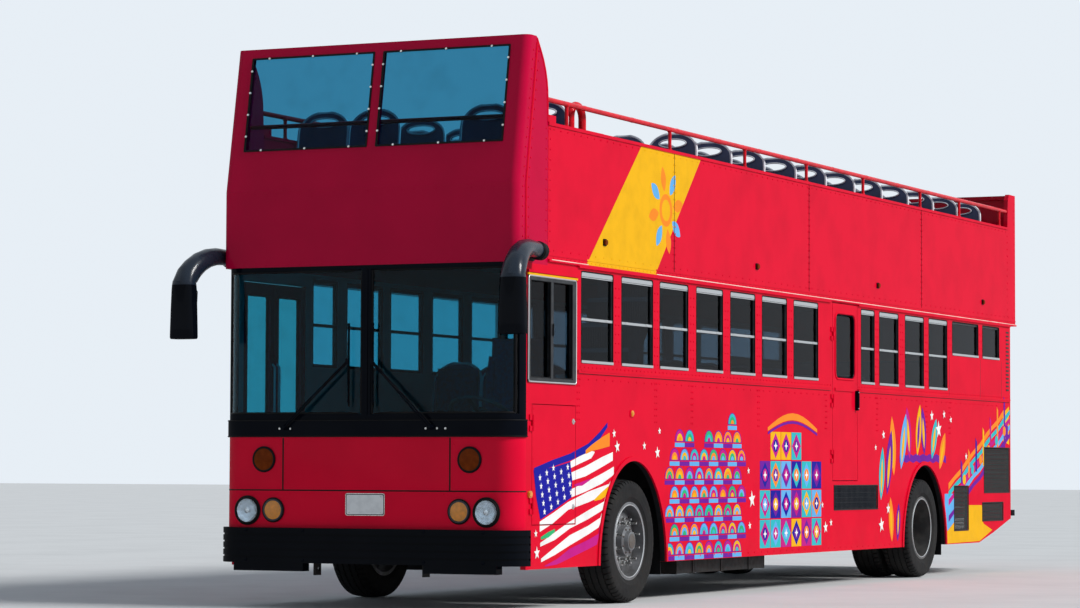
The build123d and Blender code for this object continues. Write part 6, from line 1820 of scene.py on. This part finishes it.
@dataclass
class DoorFittings:
    """Seals, handles and latches that ride on the doors and lids."""

    def build(self) -> list[Piece]:
        """Builds the fittings of every door and lid."""
        return [self.emergency(), self.entry("entry_leaf_front", 0.246, 0.712),
            self.entry("entry_leaf_rear", 0.718, 1.184), self.battery(), self.engine()]

    def emergency(self) -> Piece:
        """Window seal, lever and pull of the emergency door."""
        shape = Shape()
        for x, by, corner, radius, mark in ((-0.001, 0.0, 0.07, 0.011, 1), (-0.008, -0.015, 0.06, 0.008, 0)):
            shape.seal(grown((6.617, 7.137, 1.85, 2.446), by), 1, x, radius, corner, 6, 8, mark)
        shape.slab(rounded((7.142, 7.178, 1.572, 1.753), 0.014), 1, 0.0, 0.03, 0)
        shape.slab(rounded((7.15, 7.17, 1.6, 1.73), 0.009), 1, 0.03, 0.036, 0)
        for z in (1.59, 1.737):
            shape.rivet((HALF_W + 0.03, at(7.16), z), (1, 0, 0), 0.005, 2)
        for s in (6.56, 7.195):
            for k in range(26):
                shape.rivet((HALF_W, at(s), 0.98 + 0.06 * k), (1, 0, 0), 0.0055, 1)
        return shape.piece("emergency_door_fittings", [Paint.GLOSS_BLACK, Paint.SIDE, Paint.STEEL], "emergency_door",
            bevel=0.002)

    def entry(self, body: str, s0: float, s1: float) -> Piece:
        """Pane seals, edge rubber and grab rail of one entry leaf."""
        shape = Shape()
        for z0, z1 in ((0.47, 1.12), (1.22, 2.34)):
            shape.seal((s0 + 0.06, s1 - 0.06, z0, z1), -1, -0.001, 0.009, 0.02)
        edge, back = (s1, -1) if body.endswith("front") else (s0, 1)
        shape.rod([(-HALF_W + 0.02, at(edge + 0.001 * back), z) for z in (0.34, 2.43)], 0.0035, 6)
        grab = ((0.04, 1.1), (0.062, 1.12), (0.062, 1.8), (0.04, 1.82))
        shape.rod([(-HALF_W + x, at(edge + 0.03 * back), z) for x, z in grab], 0.011, 8, mark=1)
        return shape.piece(f"{body}_fittings", [Paint.RUBBER, Paint.ALUMINIUM], body)

    def battery(self) -> Piece:
        """Turn latches and rivets of the battery door."""
        shape = Shape()
        for z in (0.75, 1.38):
            shape.lathe([(-0.001, 0), (-0.001, 0.022), (0.004, 0.021), (0.006, 0.014), (0.006, 0)],
                (HALF_W, at(0.975), z), (1, 0, 0), 24, 0)
            shape.slab(rounded((0.957, 0.993, z - 0.004, z + 0.004), 0.003), 1, 0.005, 0.011, 0)
        for k in range(12):
            shape.rivet((HALF_W, at(0.285), 0.66 + 0.073 * k), (1, 0, 0), 0.005, 1)
        return shape.piece("battery_door_fittings", [Paint.STEEL, Paint.SIDE], "battery_door")

    def engine(self) -> Piece:
        """Latches, vent frame and pull of the engine door."""
        shape = Shape()
        y = at(REAR_S)
        for x in (-0.6, 0.6):
            shape.lathe([(-0.001, 0), (-0.001, 0.024), (0.005, 0.023), (0.007, 0.015), (0.007, 0)], (x, y, 0.72),
                BACK, 24, 0)
        shape.frame(rounded((-0.69, 0.69, 0.94, 1.42), 0.03), rounded((-0.66, 0.66, 0.97, 1.39), 0.02), -0.001, 0.004,
            lambda x, z, depth: (x, y + depth, z), 1)
        shape.rod([(x, y + d, 0.8) for x, d in ((-0.12, 0.001), (-0.12, 0.03), (0.12, 0.03), (0.12, 0.001))], 0.008,
            8)
        return shape.piece("engine_door_fittings", [Paint.STEEL, Paint.BLACK], "engine_door")


@dataclass
class DeckTrim:
    """Rail flanges, stair nosings and tread strips."""

    posts: tuple = (0.885, 2.849, 4.465, 5.936, 7.42, 9.059, 10.278, 11.62)
    rail_x: float = 1.2
    rail_z: float = 3.738
    collar_pitch: float = 0.9
    first_tread: float = 1.38
    going: float = 0.2
    risers: int = 9

    def build(self) -> list[Piece]:
        """Builds flanges of the side rails and the nosings of the stair."""
        rails = Shape()
        for sign in (1, -1):
            for s in self.posts:
                foot = (sign * self.rail_x, at(s), SIDE_TOP_Z)
                rails.lathe([(0, 0.013), (0, 0.0205), (0.006, 0.0205), (0.012, 0.016), (0.018, 0.013)], foot, UP, 18,
                    0, loop=True)
                rails.lathe([(-0.026, 0.0135), (-0.022, 0.0175), (-0.012, 0.021), (-0.004, 0.0205), (-0.004, 0.0135)],
                    (sign * self.rail_x, at(s), self.rail_z), UP, 16, 0, loop=True)
            for k in range(12):
                s = 1.2 + self.collar_pitch * k
                rails.lathe([(-0.02, 0.0188), (-0.018, 0.0205), (0.018, 0.0205), (0.02, 0.0188)],
                    (sign * self.rail_x, at(s), self.rail_z), BACK, 16, 0, loop=True)
        nosing = Shape()
        rise = (DECK_Z - FLOOR_Z) / self.risers
        for k in range(1, self.risers):
            s, z = self.first_tread + (k - 1) * self.going, FLOOR_Z + k * rise
            nosing.box((0.602, at(s) - 0.002, z - 0.03), (1.138, at(s) + 0.001, z + 0.003), 0)
            nosing.box((0.602, at(s) - 0.001, z - 0.001), (1.138, at(s) + 0.04, z + 0.003), 0)
            for j in range(6):
                nosing.box((0.62, at(s) + 0.06 + 0.018 * j, z - 0.001), (1.12, at(s) + 0.068 + 0.018 * j, z + 0.002),
                    1)
        return [rails.piece("rail_flanges", [Paint.RAIL], "bus", "red_tube"),
            nosing.piece("stair_nosings", [Paint.ALUMINIUM, Paint.RUBBER], "bus")]


@dataclass
class Cab:
    """Steering wheel grip, dials and vents of the driver's place."""

    wheel: tuple = (0.68, 0.528, 1.444)
    normal: tuple = (0.0, 0.16, 0.28)
    grip: float = 0.226

    def build(self) -> list[Piece]:
        """Builds the cab's pieces."""
        shape = Shape()
        axis = Vector(self.normal).normalized()
        centre = Vector((self.wheel[0], at(self.wheel[1]), self.wheel[2])) - axis * 0.011
        first = Vector((1, 0, 0))
        second = axis.cross(first)
        ring = [centre + first * self.grip * cos(t) + second * self.grip * sin(t) for t in turns(60)]
        shape.rod(ring, 0.0165, 10, closed=True)
        shape.lathe([(0.008, 0), (0.008, 0.068), (0.02, 0.064), (0.028, 0.04), (0.03, 0)], centre, axis, 28, 0)
        for k in range(5):
            place, out = (0.5 + 0.09 * k, at(0.335), 1.339), (0, 0.4, 1)
            shape.lathe([(0, 0.03), (0, 0.038), (0.012, 0.038), (0.012, 0.031), (0.004, 0.03)], place, out, 24, 1,
                loop=True)
            shape.lathe([(0.0, 0), (0.0, 0.031), (0.006, 0.031), (0.006, 0)], place, out, 24, 2)
        for k in range(9):
            x = -0.36 + 0.12 * k if k < 7 else 0.42 + 0.5 * (k - 7)
            for j in range(5):
                shape.box((x, at(0.09 + 0.018 * j), 1.38), (x + 0.09, at(0.1 + 0.018 * j), 1.386), 0)
        return [shape.piece("cab_fittings", [Paint.DASH, Paint.CHROME, Paint.PLATE], "bus")]


@dataclass
class Underbody:
    """Tank straps and cap, hoses and bolts that show from the side and from below."""

    tank: tuple = (0.54, 1.1, 3.24, 5.17, 0.19, 0.6)

    def build(self) -> list[Piece]:
        """Builds the underbody's pieces."""
        x0, x1, s0, s1, z0, z1 = self.tank
        shape = Shape()
        for s in (s0 + 0.35, s0 + 0.96, s1 - 0.35):
            corners = oblong(x0 - 0.003, x1 + 0.003, z0 - 0.003, z1 + 0.003)
            for (xa, za), (xb, zb) in zip(corners, corners[1:] + corners[:1]):
                shape.box((min(xa, xb) - 0.002, at(s - 0.025), min(za, zb) - 0.002),
                    (max(xa, xb) + 0.002, at(s + 0.025), max(za, zb) + 0.002))
            shape.nut(Vector((x1 + 0.005, at(s), z0 + 0.12)), Vector((1, 0, 0)), 0.011, 0.018, 1)
        for edge in (s0, s1):
            shape.rod([(x, at(edge), z) for x, z in oblong(x0, x1, z0, z1)], 0.006, 6, closed=True)
        for sign in (1, -1):
            lane = [(sign * 0.53, at(2.9 + 0.5 * k), 0.76 + 0.006 * sin(k)) for k in range(12)]
            shape.rod(lane, 0.012, 8, mark=2)
            for s, crest in ((FRONT_AXLE_S, 0.1075), (REAR_AXLE_S, 0.1125)):
                for k in range(5):
                    shape.lathe([(-0.011, 0.1035), (-0.006, crest), (0.006, crest), (0.011, 0.1035)],
                        (sign * 0.47, at(s), 0.5 + 0.03 * k), UP, 32, 2, loop=True)
        return [shape.piece("underbody_fittings", [Paint.CHASSIS, Paint.STEEL, Paint.RUBBER], "bus", bevel=0.0015)]


@dataclass
class Studio:
    """A plain pale floor, soft light and the camera at the photograph's place."""

    eye: tuple = (11.335, -26.92, 1.025)
    yaw: float = 25.25
    pitch: float = 2.9
    roll: float = 0.22
    lens: float = 108.83
    sensor: float = 36.0
    clip: tuple = (0.5, 500.0)
    sun: float = 3.35
    sun_colour: Colour = (1.0, 0.985, 0.96)
    sun_width: float = 18
    sky: float = 0.3
    sky_colour: Colour = (0.72, 0.86, 1.0)
    backdrop: Colour = (0.8, 0.86, 0.92)
    sun_at: Colour = (0.82, 0.1, 0.66)
    floor_half: float = 150.0

    def build(self) -> None:
        """Sets the floor, the light, the backdrop and the camera."""
        scene = bpy.context.scene
        scene.view_settings.view_transform = "Standard"
        self.floor()
        self.light()
        self.camera()

    def floor(self) -> None:
        """A wide floor with a fine pale grain."""
        shape = Shape()
        shape.skin([[(x * self.floor_half, y * self.floor_half, -0.001) for x in (-1, 0, 1)] for y in (-1, 0, 1)])
        mesh = bpy.data.meshes.new("floor")
        mesh.from_pydata([tuple(v) for v in shape.verts], [], shape.faces)
        mesh.materials.append(Finish("floor_pale", (0.62, 0.63, 0.64), second=(0.57, 0.58, 0.59), mottle_scale=0.8,
            rough=0.8, grain=Grain.CAST, grain_scale=60, grain_depth=0.001).material())
        made = bpy.data.objects.new("floor", mesh)
        bpy.context.scene.collection.objects.link(made)

    def light(self) -> None:
        """One broad soft light from the bus's left and an even sky."""
        lamp = bpy.data.lights.new("key", "SUN")
        lamp.energy, lamp.angle, lamp.color = self.sun, radians(self.sun_width), self.sun_colour
        key = bpy.data.objects.new("key", lamp)
        key.rotation_mode = "QUATERNION"
        key.rotation_quaternion = Vector(self.sun_at).to_track_quat("Z", "Y")
        bpy.context.scene.collection.objects.link(key)
        board = Board(bpy.data.worlds.new("sky"))
        even = board.tree.nodes["Background"]
        board.feed(even.inputs["Color"], self.sky_colour)
        board.feed(even.inputs["Strength"], self.sky)
        seen = board.node("Background", {"Color": self.backdrop})
        path = board.node("LightPath")
        shown = path.outputs["Is Camera Ray"]
        for ray in ("Is Transmission Ray", "Is Glossy Ray"):
            shown = board.maths("MAXIMUM", shown, path.outputs[ray])
        mix = board.node("MixShader", {0: shown, 1: even.outputs[0], 2: seen.outputs[0]})
        board.feed(board.tree.nodes["World Output"].inputs["Surface"], mix.outputs[0])
        bpy.context.scene.world = board.owner

    def camera(self) -> None:
        """The camera, turned by yaw, pitch and roll."""
        data = bpy.data.cameras.new("camera")
        data.lens, data.sensor_width = self.lens, self.sensor
        data.clip_start, data.clip_end = self.clip
        made = bpy.data.objects.new("camera", data)
        yaw, pitch, roll = (radians(a) for a in (self.yaw, self.pitch, self.roll))
        ahead = Vector((-sin(yaw) * cos(pitch), cos(yaw) * cos(pitch), sin(pitch)))
        right = Vector((cos(yaw), sin(yaw), 0.0))
        up = right.cross(ahead)
        right, up = right * cos(roll) + up * sin(roll), up * cos(roll) - right * sin(roll)
        made.matrix_world = Matrix(((right.x, up.x, -ahead.x, self.eye[0]), (right.y, up.y, -ahead.y, self.eye[1]),
            (right.z, up.z, -ahead.z, self.eye[2]), (0, 0, 0, 1)))
        bpy.context.scene.collection.objects.link(made)
        bpy.context.scene.camera = made


FIRST_ROW, UPPER_PITCH, LOWER_PITCH = 0.56, 0.76, 0.74


def report(title: str, made: list[Piece]) -> None:
    """Logs each piece of one sub-assembly with its face count."""
    for piece in made:
        log.info("%s: %s, %d faces", title, piece.name, len(piece.data.polygons))


def main() -> None:
    """Builds every sub-assembly in order, then notes the sizes."""
    logging.basicConfig(level=logging.INFO, format="%(name)s %(message)s")
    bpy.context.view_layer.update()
    log.info("dressed %d solids", PaintedBody().dress())
    for title, assembly in (("wheels", RoadWheels()), ("lamps", RoundLamps()), ("front", FrontFittings()),
            ("mirrors", Mirrors()), ("windows", WindowTrim()), ("panels", PanelWork()), ("livery", Livery())):
        report(title, assembly.build())
    upper = Benches(SeatKind.MOULDED, DECK_Z, (FIRST_ROW, *(3.08 + UPPER_PITCH * k for k in range(11))),
        tuple(FIRST_ROW + UPPER_PITCH * k for k in range(15)))
    upper_pieces = upper.build("upper")
    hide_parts("upper_seats", "upper_seat_backs")
    report("upper seats", upper_pieces)
    lower = Benches(SeatKind.CUSHIONED, FLOOR_Z, (3.0, 3.74, 4.48, 5.22, 7.3),
        tuple(2.9 + LOWER_PITCH * k for k in range(7)))
    lower_pieces = lower.build("lower") + LowerCushions(lower).build()
    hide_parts("lower_seats", "lower_seat_backs")
    report("lower seats", lower_pieces)
    for title, assembly in (("doors", DoorFittings()), ("deck", DeckTrim()), ("cab", Cab()),
            ("underbody", Underbody())):
        report(title, assembly.build())
    Studio().build()


if __name__ == "__main__":
    main()
